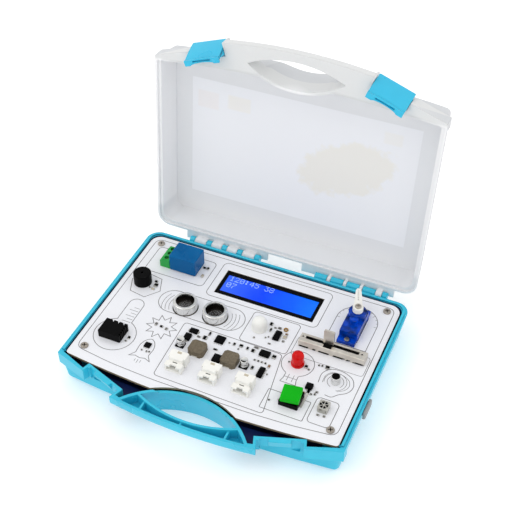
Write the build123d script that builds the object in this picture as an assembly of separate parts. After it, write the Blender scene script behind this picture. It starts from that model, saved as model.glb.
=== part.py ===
# Microcontroller learning kit: a carry case with a hinged clear lid, and a white
# circuit panel in its base that carries a display, sensors, a servo and controls.
# The origin is the centre of the base's bottom face: X to the right, Y to the back, Z up.
# The lid is built closed, then turned to its open rest place about the hinge axis.
from build123d import *
from math import cos, radians, sin, sqrt
import os

os.makedirs("parts", exist_ok=True)

# Case halves
half_height = 22.0
case_half_width = 94.4
case_front_y = -62.2
case_rear_y = 64.5
front_bulge = 5.2
side_draft = 3.2
front_draft = 0.6
rear_draft = 2.5
rear_corner_radius = 9.0
front_corner_radius = 3.5
bottom_edge_radius = 3.0
wall = 2.2
rim_width = 3.2
lip_height = 1.2
lip_setback = 1.6
lip_gap = 0.15

# Hand opening, grip and front flange
flange_height = 9.0
flange_wall = 1.7
flange_void_tip = -2.4
flange_break_lift = 1.5
arch_centre_y = -110.85
arch_radius = 52.7
arch_wall = 2.0
arch_draft = 4.0
lid_arch_draft = -3.0
grip_front_y = -83.8
grip_front_radius = 340.0
grip_inner_y = -78.3
grip_inner_radius = 72.0
grip_wall = 1.6
grip_edge_radius = 4.5
grip_rib_width = 1.3
grip_rib_places = (-27.0, 0.0, 28.0)

# Latches and their recesses
latch_angle = 19.0
latch_origin = (60.0, -75.0)
recess_half = 13.6
recess_face = -5.45
recess_back = -8.2
lid_recess_face = -7.4
strike_half = 6.6
strike_top_face = -4.4
strike_bottom_face = -6.95
strike_height = 7.0
hook_window_height = 4.2
pocket_width = 5.4
latch_width = 23.0
latch_thickness = 1.8
latch_tilt = 20.3
latch_top = 8.0
latch_bottom = -9.0
latch_proud = 0.95
latch_pivot_depth = 5.2
latch_pivot_inset = -3.4
latch_pin_radius = 1.0
latch_barrel_radius = 1.75
latch_pin_clearance = 0.06
latch_side_gap = 0.4
latch_slot_rise = 3.0
latch_slot_height = 1.2
latch_slot_half = 6.5

# Lid and hinge
lid_open_angle = 96.4
hinge_y = 69.0
hinge_z = 19.0
knuckle_radius = 2.8
hinge_rod_radius = 1.2
hinge_rod_clearance = 0.08
knuckle_gap = 0.35
hinge_arm_thickness = 2.6
left_fins = (-65.0, -52.4, -40.7, -29.1, -16.0)
left_fin_width = 3.6
right_barrels = (30.5, 42.0, 53.3, 64.5)
right_barrel_width = 8.5
right_end_fin = 75.4
left_lid_start = -71.5
right_lid_start = 15.0
label_half_x = 77.5
label_half_y = 43.3
label_thickness = 0.4
label_recess = 0.6

# Panel and its screws
panel_half_width = case_half_width - 4.5
panel_half_depth = case_rear_y - 4.5
panel_bulge = 5.3
panel_corner_radius = 7.0
panel_thickness = 1.6
panel_edge_gap = 0.3
panel_proud = 0.2
panel_arch_gap = 1.3
lid_panel_relief = 0.6
screw_x = panel_half_width - 8.1
screw_front_y = -51.0
screw_rear_y = 53.0
screw_head_radius = 2.5
screw_head_height = 1.1
screw_shank_radius = 1.45
screw_length = 9.0
screw_clearance = 0.2
boss_radius = 3.6
boss_fit = 0.05

# Display
lcd_x = 6.4
lcd_y = 36.2
lcd_view_x = 64.5
lcd_view_y = 16.0
lcd_bezel_x = 68.8
lcd_bezel_y = 22.2
lcd_bezel_height = 7.0
lcd_sink = 0.3
lcd_board_x = 80.0
lcd_board_y = 36.0
board_thickness = 1.6
header_count = 16
pitch = 2.54
window_gap = 0.3
can_window_gap = 0.5

# Ultrasonic sensor
can_radius = 8.0
can_opening_radius = 6.1
can_top_fillet = 0.9
can_lip_depth = 2.4
can_wall = 0.6
mesh_thickness = 0.5
can_height = 12.0
can_proud = 6.2
can_places = ((-39.0, 4.6), (-17.9, 4.9))
sonar_board_x = 44.0
sonar_board_y = 20.0

# Servo
servo_x = 66.9
servo_body_x = 11.8
servo_body_y = 22.5
servo_front_y = 19.8
servo_tab_length = 4.7
servo_tab_thickness = 2.4
servo_below_tab = 15.9
servo_above_tab = 4.3
servo_wall = 1.2
servo_shaft_inset = 5.9
servo_tower_radius = 5.7
servo_tower_height = 3.6
servo_cap_height = 5.0
servo_horn_length = 16.5
servo_horn_angle = 18.0
servo_horn_thickness = 1.5
gear_thickness = 1.4
servo_screw_radius = 0.9
gear_pitch = 0.35
output_teeth = 24
idler_teeth = 13
pinion_teeth = 9
gear_tooth_gap = 0.06

# Slide potentiometer
pot_x = panel_half_width - 28.1
pot_y = 6.4
pot_length = 43.2
pot_width = 7.4
pot_height = 5.2
pot_slot_y = 7.0
pot_slot_length = 34.8
pot_slot_width = 2.4
pot_knob_x = pot_x - 3.0
pot_travel_low = -12.5
pot_travel_high = 17.2
pot_sheet = 0.5
pot_foot_gap = 1.4
pot_gaps = ((0.0, 6.4), (9.1, 11.1), (13.0, 20.0), (22.8, 30.2), (31.7, 33.8), (36.8, 42.6))
pot_plate_width = 5.2
pot_plate_depth = 4.2
pot_plate_height = 0.8
pot_stem_width = 4.2
pot_lever_width = 6.8
pot_lever_thickness = 1.4
pot_lever_top = 11.6

# Relay and terminal block
relay_x0 = -64.8
relay_x1 = -45.7
relay_y0 = 32.4
relay_y1 = 47.5
relay_height = 12.6
relay_standoff = 0.6
terminal_x0 = -72.3
terminal_y0 = 33.0
terminal_y1 = 46.4
terminal_height = 7.5

# Buttons, lamps and small sensors
button_x = 52.8
button_y = -39.5
button_size = 12.2
button_base_height = 3.4
button_cap_size = 11.6
button_cap_height = 3.0
button_cap_turn = 8.0
button_travel = 0.5
buzzer_x = -75.6
buzzer_y = 14.6
buzzer_radius = 6.0
buzzer_height = 8.5
led_x = 45.6
led_y = -11.3
led_radius = 3.85
led_flange_radius = 4.25
led_height = 10.5
dome_x = 12.3
dome_y = 6.8
dome_flange_radius = 5.2
dome_flange_height = 1.2
dome_radius = 4.9
dome_shoulder = 4.6
dome_wall = 0.8
dome_sensor_gap = 0.2
mic_x = 71.9
mic_y = -15.7
mic_radius = 3.0
mic_height = 5.2
mic_felt_radius = 2.45
infrared_x = 72.7
infrared_y = -37.9
infrared_length = 6.4
infrared_width = 7.0
infrared_height = 3.8
infrared_sheet = 0.3
climate_x = -70.3
climate_y = -34.4
climate_length = 15.0
climate_width = 11.8
climate_height = 5.6
climate_wall = 2.2
climate_notches = 3
climate_ribs = 5

# Power parts on the panel
connector_places = (-21.3, 1.0, 23.1)
connector_width = 11.3
connector_y0 = -48.4
connector_depth = 12.0
connector_height = 7.2
connector_step_depth = 4.6
connector_step_drop = 2.0
connector_notch_y0 = 4.0
connector_notch_y1 = 6.4
connector_notch_depth = 1.3
connector_mouth_depth = 7.5
connector_mouth_floor = 1.4
connector_mouth_drop = 3.2
connector_pin_start = 3.0
connector_pin_half = 0.3
connector_pin_rise = 2.6
inductor_places = ((-15.0, -26.6), (7.0, -26.7))
inductor_size = 10.2
inductor_height = 4.2
inductor_corner = 1.5
capacitor_places = ((-27.1, -25.9), (16.3, -26.0))
capacitor_radius = 2.6
capacitor_height = 5.6
capacitor_base_size = 5.6
capacitor_base_height = 0.8
capacitor_base_corner = 1.2

# Socket in the right wall and its cap
usb_y = -24.3
usb_width = 9.0
usb_length = 7.4
usb_height = 3.2
usb_sheet = 0.3
usb_gap = 0.5
usb_tongue_half = 3.3
usb_tongue_thickness = 0.7
usb_opening_drop = 1.0
cap_fit = 0.05
cap_width = 13.6
cap_rise = 6.0
cap_drop = 1.2
cap_proud = 2.2
cap_corner = 2.0

rim_z = half_height
panel_top = rim_z + panel_proud
panel_bottom = panel_top - panel_thickness
beyond = 300.0


def block(x0, x1, y0, y1, z0, z1):
    centre = ((x0 + x1) / 2, (y0 + y1) / 2, (z0 + z1) / 2)
    return Pos(*centre) * Box(x1 - x0, y1 - y0, z1 - z0)


def block_at(x, y, length, width, z0, z1):
    return block(x - length / 2, x + length / 2, y - width / 2, y + width / 2, z0, z1)


def rod(x, y, radius, z0, z1):
    return Pos(x, y, (z0 + z1) / 2) * Cylinder(radius, z1 - z0)


def rod_along_x(x0, x1, y, z, radius):
    return Pos((x0 + x1) / 2, y, z) * Rot(0, 90, 0) * Cylinder(radius, x1 - x0)


def prism(points, z0, z1):
    return Pos(0, 0, z0) * extrude(make_face(Polyline(*points, close=True)), z1 - z0)


def save(node, *shapes):
    solids = [solid for shape in shapes for solid in shape.solids()]
    body = solids[0] if len(solids) == 1 else Compound(children=solids)
    export_step(body, os.path.join("parts", node + ".step"))


def latch_point(along, out, side=1):
    # A plan point in a latch's own directions: along its width, and outward
    turn = radians(latch_angle)
    x = latch_origin[0] + along * cos(turn) + out * sin(turn)
    y = latch_origin[1] + along * sin(turn) - out * cos(turn)
    return (side * x, y)


def outline(side_in, front_in, rear_in, rear_radius, front_radius, z):
    # The case's plan: straight sides and back, and a front that bows outward
    half = case_half_width - side_in
    front = case_front_y + front_in
    rear = case_rear_y - rear_in
    bow = ThreePointArc((-half, front), (0, front - front_bulge), (half, front))
    sides = Polyline((half, front), (half, rear), (-half, rear), (-half, front))
    face = make_face([*bow.edges(), *sides.edges()])
    corners = face.vertices().sort_by(Axis.Y)
    face = fillet(corners[-2:], rear_radius)
    corners = face.vertices().sort_by(Axis.Y)
    face = fillet(corners[:2], front_radius)
    return Pos(0, 0, z) * face


def outer_form():
    low = outline(side_draft, front_draft, rear_draft, rear_corner_radius, front_corner_radius, 0)
    high = outline(0, 0, 0, rear_corner_radius, front_corner_radius, rim_z)
    form = loft([low, high], ruled=True)
    return fillet(form.faces().sort_by(Axis.Z)[0].edges(), bottom_edge_radius)


def inner_form():
    inner_rear = rear_corner_radius - wall
    inner_front = front_corner_radius - wall + 0.4
    rise = wall / half_height
    low_side = side_draft * (1 - rise) + wall
    low = outline(low_side, front_draft + wall, rear_draft + wall, inner_rear, inner_front, wall)
    high = outline(rim_width, rim_width, rim_width, inner_rear, inner_front, rim_z + lip_height + 1)
    return loft([low, high], ruled=True)


def flange_points(face):
    # The front flange's outer line on the right: corner, break, recess, then grip end
    corner = (case_half_width, case_front_y)
    brk = latch_point(recess_half, -flange_break_lift)
    face_outer = latch_point(recess_half, face)
    face_inner = latch_point(-recess_half, face)
    grip_end = latch_point(-recess_half, grip_end_lift())
    return [corner, brk, face_outer, face_inner, grip_end]


def grip_front_at(x):
    return grip_front_y + grip_front_radius - sqrt(grip_front_radius ** 2 - x ** 2)


def grip_end_lift():
    # How far the grip's end stands out, so that it ends on the grip's front arc
    x, y = latch_point(-recess_half, 0)
    return (y - grip_front_at(x)) / cos(radians(latch_angle))


def mirror_x(points):
    return [(-x, y) for x, y in points]


def flange_form(face_out):
    right = flange_points(face_out)
    left = mirror_x(right)[::-1]
    inside = case_front_y + 6
    grip_arc = ThreePointArc(right[-1], (0, grip_front_y), left[0])
    back = Polyline(left[-1], (-case_half_width, inside), (case_half_width, inside), right[0])
    line_right = Polyline(*right)
    line_left = Polyline(*left)
    edges = [*line_right.edges(), *grip_arc.edges(), *line_left.edges(), *back.edges()]
    face = make_face(edges)
    form = Pos(0, 0, rim_z - flange_height) * extrude(face, flange_height)
    grip_edge = form.faces().sort_by(Axis.Y)[0].edges().sort_by(Axis.Z)[0]
    return fillet(grip_edge, grip_edge_radius)


def flange_cavity(side, back):
    inset = flange_wall
    corner = (case_half_width - rim_width, case_front_y + 2.0)
    points = [
        (case_half_width - rim_width, case_front_y + 5),
        corner,
        latch_point(recess_half + inset, -flange_break_lift - inset),
        latch_point(recess_half + inset, back),
        latch_point(-recess_half - inset, back),
        latch_point(-recess_half - inset, flange_void_tip),
        (36.0, -80.0),
        (20.0, case_front_y + 5),
    ]
    points = [(side * x, y) for x, y in points]
    return prism(points, rim_z - flange_height + wall, rim_z + lip_height + 1)


def disc(centre_y, radius, z0, z1):
    return rod(0, centre_y, radius, z0, z1)


def arch_form(offset, draft, z0, z1):
    # The hand opening's round wall, wider by the draft at the bottom of the half
    top = arch_radius - arch_wall + offset
    low = top + draft
    height = half_height
    cone = Pos(0, arch_centre_y, height / 2) * Cone(low, top, height)
    return cone & block(-70, 70, -120, 0, z0, z1)


def grip_inner_disc(offset, z0, z1):
    return disc(grip_inner_y + grip_inner_radius, grip_inner_radius + offset, z0, z1)


def grip_channel(low, high, rib_top):
    # The hollow along the grip, with its cross ribs left standing
    front = disc(grip_front_y + grip_front_radius, grip_front_radius - grip_wall, low, high)
    hollow = front & disc(arch_centre_y, arch_radius - arch_wall, low, high)
    hollow = hollow - grip_inner_disc(grip_wall, low, high)
    for place in grip_rib_places:
        hollow = hollow - block_at(place, -75, grip_rib_width, 30, low - 1, rib_top)
    return hollow


def base_hollows():
    # The base's grip and flange are open toward the lid
    bottom = rim_z - flange_height
    cavities = [flange_cavity(1, recess_back), flange_cavity(-1, recess_back)]
    return grip_channel(bottom + grip_wall, rim_z + 1, rim_z - 1.2), cavities


def lid_channel():
    # The lid's grip is smooth toward the base and hollow on its outer side
    bottom = rim_z - flange_height
    return grip_channel(bottom - 1, rim_z - grip_wall, rim_z)


def recess_window(side):
    # The slot under the strike bar that takes the latch's hook
    high = rim_z - strike_height
    corners = [(-recess_half + 2, 1), (recess_half - 2, 1), (recess_half - 2, recess_back - 0.5),
               (-recess_half + 2, recess_back - 0.5)]
    points = [latch_point(a, n, side) for a, n in corners]
    return prism(points, high - hook_window_height, high)


def recess_pocket(side, sign):
    inner = strike_half
    outer = strike_half + pocket_width
    corners = [(sign * inner, 1), (sign * outer, 1), (sign * outer, recess_back + 1.5),
               (sign * inner, recess_back + 1.5)]
    points = [latch_point(a, n, side) for a, n in corners]
    return prism(points, rim_z - strike_height - 0.5, rim_z + 1)


def strike_wedge(side):
    # The strike bar: its face slopes inward on its way down, like the latch that covers it
    top = rim_z
    low = rim_z - strike_height
    profile = [(strike_top_face, top), (strike_bottom_face, low), (recess_back + 0.4, low),
               (recess_back + 0.4, top)]
    a0 = latch_point(-strike_half, 0)
    plane = Plane(origin=(a0[0], a0[1], 0), x_dir=latch_out(), z_dir=-latch_along())
    face = plane * make_face(Polyline(*profile, close=True))
    bar = extrude(face, 2 * strike_half, dir=latch_along())
    return bar if side > 0 else mirror(bar, Plane.YZ)


def latch_out():
    turn = radians(latch_angle)
    return Vector(sin(turn), -cos(turn), 0)


def latch_along():
    turn = radians(latch_angle)
    return Vector(cos(turn), sin(turn), 0)


def case_half(face, draft, channel, cavities):
    form = outer_form() + flange_form(face)
    inner = inner_form() - arch_form(arch_wall, draft, -1, rim_z + 3)
    for cavity in cavities:
        inner = inner + (cavity - disc(arch_centre_y, arch_radius, 0, rim_z + 5))
    form = form - inner
    hand = arch_form(0, draft, -1, rim_z + 1) & grip_inner_disc(0, -1, rim_z + 1)
    form = form - hand
    return form - channel


def rim_ring(inset_out, inset_in, z0, z1):
    outer = outline(inset_out, inset_out, inset_out, rear_corner_radius - inset_out,
                    front_corner_radius - inset_out, z0)
    inner = outline(inset_in, inset_in, inset_in, rear_corner_radius - inset_in,
                    max(front_corner_radius - inset_in, 0.3), z0)
    ring = extrude(outer, z1 - z0) - extrude(inner, z1 - z0)
    return ring - block(-beyond, beyond, -beyond, case_front_y + 3.0, z0 - 1, z1 + 1)


def base_shell():
    channel, cavities = base_hollows()
    shell = case_half(recess_face, arch_draft, channel, cavities)
    for side in (1, -1):
        wedge_cut = cut_strike_face(side)
        shell = shell - recess_window(side)
        for sign in (1, -1):
            shell = shell - recess_pocket(side, sign)
        shell = shell - wedge_cut + strike_wedge(side)
    shell = shell + rim_ring(lip_setback, rim_width, rim_z - 1, rim_z + lip_height)
    shell = shell - panel_pocket()
    shell = shell + base_bosses()
    shell = shell - usb_opening()
    return shell + base_knuckles()


def cut_strike_face(side):
    corners = [(-strike_half, 1), (strike_half, 1), (strike_half, recess_back + 0.4),
               (-strike_half, recess_back + 0.4)]
    points = [latch_point(a, n, side) for a, n in corners]
    return prism(points, rim_z - strike_height, rim_z + 1)


def screw_places():
    return [(side * screw_x, y) for side in (-1, 1) for y in (screw_front_y, screw_rear_y)]


def base_bosses():
    bosses = []
    for x, y in screw_places():
        boss = rod(x, y, boss_radius, wall - 0.5, panel_bottom)
        hole = rod(x, y, screw_shank_radius + boss_fit, panel_bottom - screw_length, panel_bottom + 1)
        bosses.append(boss - hole)
    return Part() + bosses


def usb_opening():
    half = usb_width / 2 + usb_gap
    low = panel_bottom - usb_height - usb_gap
    return block(case_half_width - 8, case_half_width + 1, usb_y - half, usb_y + half, low,
                 panel_bottom - usb_opening_drop)


def knuckle(x0, x1):
    return rod_along_x(x0, x1, hinge_y, hinge_z, knuckle_radius)


def base_knuckle(x0, x1):
    low = hinge_z - hinge_arm_thickness
    arm = block(x0, x1, case_rear_y - rear_draft + 0.2, hinge_y, low, hinge_z)
    return knuckle(x0, x1) + arm


def fin_spans():
    left = [(x - left_fin_width / 2, x + left_fin_width / 2) for x in left_fins]
    right = [(x - right_barrel_width / 2, x + right_barrel_width / 2) for x in right_barrels]
    right.append((right_end_fin - left_fin_width / 2, right_end_fin + left_fin_width / 2))
    return left, right


def base_knuckles():
    left, right = fin_spans()
    pieces = []
    for spans in (left, right):
        pieces += [base_knuckle(x0, x1) for x0, x1 in spans]
        pieces.append(rod_along_x(spans[0][0], spans[-1][1], hinge_y, hinge_z, hinge_rod_radius))
    return Part() + pieces


def lid_spans(spans):
    # The lid's knuckles fill the spaces between the base's, with a running gap
    return [(a[1] + knuckle_gap, b[0] - knuckle_gap) for a, b in zip(spans, spans[1:])]


def lid_strip(x0, x1):
    low = hinge_z + knuckle_radius + 0.5
    return block(x0, x1, case_rear_y - lip_setback + 0.4, hinge_y + 1.6, low, low + 1.7)


def lid_knuckle(x0, x1):
    top = hinge_z + knuckle_radius + 1
    web = block(x0, x1, hinge_y - 2.4, hinge_y + 2.4, hinge_z, top)
    return knuckle(x0, x1) + web


def lid_hinge_parts():
    left, right = fin_spans()
    pieces = [lid_strip(left_lid_start, left[-1][1] + 4.0), lid_strip(right_lid_start, right[-1][1] + 3.0)]
    for spans in (left, right):
        pieces += [lid_knuckle(x0, x1) for x0, x1 in lid_spans(spans)]
    bore = rod_along_x(-case_half_width, case_half_width, hinge_y, hinge_z,
                       hinge_rod_radius + hinge_rod_clearance)
    return (Part() + pieces) - bore


def open_lid(shape):
    # Turns a shape from the closed lid's place to the open rest place
    to_axis = Pos(0, hinge_y, hinge_z)
    return to_axis * Rot(-lid_open_angle, 0, 0) * to_axis.inverse() * shape


def flip_half(shape):
    return Pos(0, 0, 2 * rim_z) * mirror(shape, Plane.XY)


def pivot_holes():
    depth = rim_z + latch_pivot_depth
    holes = []
    for side in (1, -1):
        a0 = latch_point(-recess_half - 1.8, latch_pivot_inset)
        radius = latch_pin_radius + latch_pin_clearance
        plane = Plane(origin=(a0[0], a0[1], depth), z_dir=latch_along())
        hole = plane * Cylinder(radius, 2 * recess_half + 3.6, align=(Align.CENTER, Align.CENTER, Align.MIN))
        holes.append(hole if side > 0 else mirror(hole, Plane.YZ))
    return Part() + holes


def lid_shell():
    shell = case_half(lid_recess_face, lid_arch_draft, lid_channel(), [])
    rebate = rim_ring(lip_setback - lip_gap, rim_width + 1, rim_z - lip_height - lip_gap, rim_z + 1)
    relief = Pos(0, 0, rim_z - lid_panel_relief) * extrude(panel_face(panel_edge_gap), wall)
    shell = flip_half(shell - rebate - relief)
    top = 2 * half_height
    recess = block_at(0, 0, 2 * label_half_x + 0.4, 2 * label_half_y + 0.4, top - label_recess, top + 1)
    shell = shell - recess - pivot_holes()
    return open_lid(shell + lid_hinge_parts())


def lid_label():
    top = 2 * half_height - label_recess
    sheet = block_at(0, 0, 2 * label_half_x, 2 * label_half_y, top, top + label_thickness)
    return open_lid(fillet(sheet.edges().filter_by(Axis.Z), 2.0))


def latch_profile():
    # The latch's side view: out from the latch line, and depth above the rim
    lean = radians(latch_tilt)
    thick_out = latch_thickness * cos(lean)
    thick_deep = latch_thickness * sin(lean)
    span = latch_top - latch_bottom
    end_out = latch_proud - span * sin(lean) / cos(lean)
    plate = [(latch_proud, latch_top), (end_out, latch_bottom), (end_out - thick_out, latch_bottom),
             (latch_proud - thick_out, latch_top - thick_deep * 0.3)]
    hook_tip = recess_back - 0.4
    hook_top = -strike_height - 0.3
    hook = [(end_out - 0.5, latch_bottom), (hook_tip, latch_bottom), (hook_tip, hook_top - 0.4),
            (end_out - 0.2, hook_top)]
    lip = [(end_out - 0.4, latch_bottom), (end_out + 1.5, latch_bottom), (end_out + 1.9, latch_bottom + 1.3),
           (end_out + 0.3, latch_bottom + 2.6)]
    return plate, hook, lip


def latch_slab(points, along0, along1):
    a0 = latch_point(along0, 0)
    plane = Plane(origin=(a0[0], a0[1], rim_z), x_dir=latch_out(), z_dir=-latch_along())
    return extrude(plane * make_face(Polyline(*points, close=True)), along1 - along0, dir=latch_along())


def latch():
    plate, hook, lip = latch_profile()
    half = latch_width / 2
    body = latch_slab(plate, -half, half)
    body = body + latch_slab(hook, -strike_half + 0.6, strike_half - 0.6)
    body = body + latch_slab(lip, -half, half)
    barrel_half = recess_half - latch_side_gap
    a0 = latch_point(-barrel_half, latch_pivot_inset)
    plane = Plane(origin=(a0[0], a0[1], rim_z + latch_pivot_depth), z_dir=latch_along())
    from_end = (Align.CENTER, Align.CENTER, Align.MIN)
    barrel = plane * Cylinder(latch_barrel_radius, 2 * barrel_half, align=from_end)
    pin_half = recess_half + 1.5
    a1 = latch_point(-pin_half, latch_pivot_inset)
    pin_plane = Plane(origin=(a1[0], a1[1], rim_z + latch_pivot_depth), z_dir=latch_along())
    pin = pin_plane * Cylinder(latch_pin_radius, 2 * pin_half, align=(Align.CENTER, Align.CENTER, Align.MIN))
    web = latch_slab([(latch_pivot_inset, latch_pivot_depth - 1.3), (latch_pivot_inset, latch_pivot_depth + 1.3),
                      (latch_pivot_inset + 2.6, latch_pivot_depth + 1.2),
                      (latch_pivot_inset + 2.0, latch_pivot_depth - 1.3)], -half, half)
    slot_deep = latch_bottom + latch_slot_rise
    slot_end = slot_deep + latch_slot_height
    slot = latch_slab([(recess_back - 1, slot_deep), (recess_half, slot_deep), (recess_half, slot_end),
                       (recess_back - 1, slot_end)], -latch_slot_half, latch_slot_half)
    return body - slot + barrel + pin + web


def panel_face(grow):
    half = panel_half_width + grow
    front = -panel_half_depth - grow
    rear = panel_half_depth + grow
    bow = ThreePointArc((-half, front), (0, front - panel_bulge), (half, front))
    sides = Polyline((half, front), (half, rear), (-half, rear), (-half, front))
    face = make_face([*bow.edges(), *sides.edges()])
    face = fillet(face.vertices().sort_by(Axis.Y)[-2:], panel_corner_radius + grow)
    return fillet(face.vertices().sort_by(Axis.Y)[:2], 2.0 + grow)


def panel_pocket():
    # The step in the case wall that takes the panel's edge
    return Pos(0, 0, panel_bottom) * extrude(panel_face(panel_edge_gap), panel_thickness * 4)


def panel_board():
    board = Pos(0, 0, panel_bottom) * extrude(panel_face(0), panel_thickness)
    low = panel_bottom - 1
    high = panel_top + 1
    board = board - disc(arch_centre_y, arch_radius + panel_arch_gap, low, high)
    for x, y in screw_places():
        board = board - rod(x, y, screw_shank_radius + screw_clearance, low, high)
    window_x = lcd_bezel_x + 2 * window_gap
    window_y = lcd_bezel_y + 2 * window_gap
    board = board - block_at(lcd_x, lcd_y, window_x, window_y, low, high)
    for x, y in can_places:
        board = board - rod(x, y, can_radius + can_window_gap, low, high)
    servo_gap = servo_body_x + 2 * window_gap
    board = board - block(servo_x - servo_gap / 2, servo_x + servo_gap / 2, servo_front_y - window_gap,
                          servo_front_y + servo_body_y + window_gap, low, high)
    for x, y in servo_screw_places():
        board = board - rod(x, y, servo_screw_radius + 0.1, low, high)
    return board


def cross_head(x, y, radius, z, height):
    head = rod(x, y, radius, z, z + height)
    head = fillet(head.faces().sort_by(Axis.Z)[-1].edges(), height * 0.45)
    arm = radius * 1.25
    for turn in (25, 115):
        slot = Pos(x, y, z + height) * Rot(0, 0, turn) * Box(arm, radius * 0.24, height * 0.9)
        head = head - slot
    return head


def panel_screws():
    screws = []
    for x, y in screw_places():
        shank = rod(x, y, screw_shank_radius, panel_top - screw_length, panel_top + 0.2)
        screws.append(cross_head(x, y, screw_head_radius, panel_top, screw_head_height) + shank)
    return screws


def lcd_levels():
    top = panel_top - lcd_sink
    low = top - lcd_bezel_height
    return low, top


def lcd_bezel():
    low, top = lcd_levels()
    frame = block_at(lcd_x, lcd_y, lcd_bezel_x, lcd_bezel_y, low, top)
    hollow = block_at(lcd_x, lcd_y, lcd_bezel_x - 1.0, lcd_bezel_y - 1.0, low - 1, top - 0.5)
    view = block_at(lcd_x, lcd_y, lcd_view_x, lcd_view_y, top - 2, top + 1)
    return frame - hollow - view


def lcd_glass():
    low, top = lcd_levels()
    return block_at(lcd_x, lcd_y, lcd_bezel_x - 1.4, lcd_bezel_y - 1.4, top - 2.7, top - 0.5)


def lcd_backlight():
    low, top = lcd_levels()
    return block_at(lcd_x, lcd_y, lcd_bezel_x - 1.4, lcd_bezel_y - 1.4, low, top - 2.7)


def lcd_board():
    low, top = lcd_levels()
    return block_at(lcd_x, lcd_y, lcd_board_x, lcd_board_y, low - board_thickness, low)


def lcd_header():
    # The pin strip that carries the display board under the panel
    low, top = lcd_levels()
    row_y = lcd_y + lcd_board_y / 2 - pitch
    row_x = lcd_x - 20.0
    strip = block(row_x - 0.6, row_x + header_count * pitch - pitch + 0.6, row_y - 1.2, row_y + 1.2,
                  low, panel_bottom)
    return strip


def sonar_board():
    x = (can_places[0][0] + can_places[1][0]) / 2
    y = (can_places[0][1] + can_places[1][1]) / 2
    top = panel_top + can_proud - can_height
    return block_at(x, y, sonar_board_x, sonar_board_y, top - board_thickness, top)


def sonar_can(x, y):
    top = panel_top + can_proud
    low = top - can_height
    can = rod(x, y, can_radius, low, top)
    can = fillet(can.faces().sort_by(Axis.Z)[-1].edges(), can_top_fillet)
    bowl = rod(x, y, can_opening_radius, top - can_lip_depth - 1, top + 1)
    hollow = rod(x, y, can_radius - can_wall, low + 1, top - can_lip_depth)
    return can - bowl - hollow


def sonar_mesh(x, y):
    high = panel_top + can_proud - can_lip_depth - 0.05
    return rod(x, y, can_radius - can_wall - 0.1, high - mesh_thickness, high)


def sonar_cone(x, y):
    low = panel_top + can_proud - can_height + 1
    stem = rod(x, y, 1.6, low, low + 4)
    cup = Pos(x, y, low + 5.5) * Cone(1.6, 4.6, 3.0)
    return stem + cup


def sonar_posts():
    # Plastic posts between the sensor board and the panel
    x = (can_places[0][0] + can_places[1][0]) / 2
    y = (can_places[0][1] + can_places[1][1]) / 2
    low = panel_top + can_proud - can_height
    far_x = sonar_board_x / 2 - 1.6
    far_y = sonar_board_y / 2 - 1.6
    return [rod(x + i * far_x, y + j * far_y, 1.4, low, panel_bottom) for i in (-1, 1) for j in (-1, 1)]


def servo_levels():
    tab = panel_top
    bottom = tab - servo_below_tab
    seam = bottom + servo_cap_height
    case_top = tab + servo_tab_thickness + servo_above_tab
    shelf = case_top - 3.6
    return bottom, seam, tab, shelf, case_top


def servo_shaft_place():
    return servo_x, servo_front_y + servo_body_y - servo_shaft_inset


def idler_place():
    x, y = servo_shaft_place()
    return x, y - gear_radius(output_teeth) - gear_radius(idler_teeth)


def pinion_place():
    x, y = idler_place()
    return x, y - gear_radius(idler_teeth) - gear_radius(pinion_teeth)


def gear_radius(teeth):
    return gear_pitch * teeth / 2


def servo_screw_places():
    front = servo_front_y - servo_tab_length / 2
    rear = servo_front_y + servo_body_y + servo_tab_length / 2
    return [(servo_x, front), (servo_x, rear)]


def servo_block(inset, low, high):
    return block(servo_x - servo_body_x / 2 + inset, servo_x + servo_body_x / 2 - inset,
                 servo_front_y + inset, servo_front_y + servo_body_y - inset, low, high)


def servo_case_bottom():
    bottom, seam, tab, shelf, case_top = servo_levels()
    return servo_block(0, bottom, seam) - servo_block(servo_wall, bottom + servo_wall, seam + 1)


def servo_case_middle():
    bottom, seam, tab, shelf, case_top = servo_levels()
    tabs = block(servo_x - servo_body_x / 2, servo_x + servo_body_x / 2, servo_front_y - servo_tab_length,
                 servo_front_y + servo_body_y + servo_tab_length, tab, tab + servo_tab_thickness)
    case = servo_block(0, seam, shelf) + tabs
    case = case - servo_block(servo_wall, seam - 1, shelf - servo_wall)
    x, y = servo_shaft_place()
    case = case - rod(*idler_place(), 1.0, shelf - 2, shelf + 1)
    case = case - rod(x, y, 1.4, shelf - 2, shelf + 1)
    case = case - rod(*pinion_place(), 1.2, shelf - 2, shelf + 1)
    for x, y in servo_screw_places():
        case = case - rod(x, y, servo_screw_radius + 0.1, tab - 1, tab + servo_tab_thickness + 1)
    return case


def servo_case_top():
    bottom, seam, tab, shelf, case_top = servo_levels()
    x, y = servo_shaft_place()
    tower_top = case_top + servo_tower_height
    top = servo_block(0, shelf, case_top) + rod(x, y, servo_tower_radius, shelf, tower_top)
    top = top + rod(*idler_place(), 2.9, shelf, case_top + servo_tower_height - 0.6)
    top = top & servo_block(0, shelf, tower_top + 1)
    top = top - servo_block(servo_wall, shelf - 1, case_top - servo_wall)
    return top - rod(x, y, 2.45, shelf, tower_top + 1)


def servo_motor():
    bottom, seam, tab, shelf, case_top = servo_levels()
    x, y = pinion_place()
    can = rod(x, y, 4.6, bottom + servo_wall, shelf - servo_wall)
    return can - rod(x, y, 0.6, shelf - 6, shelf)


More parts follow.
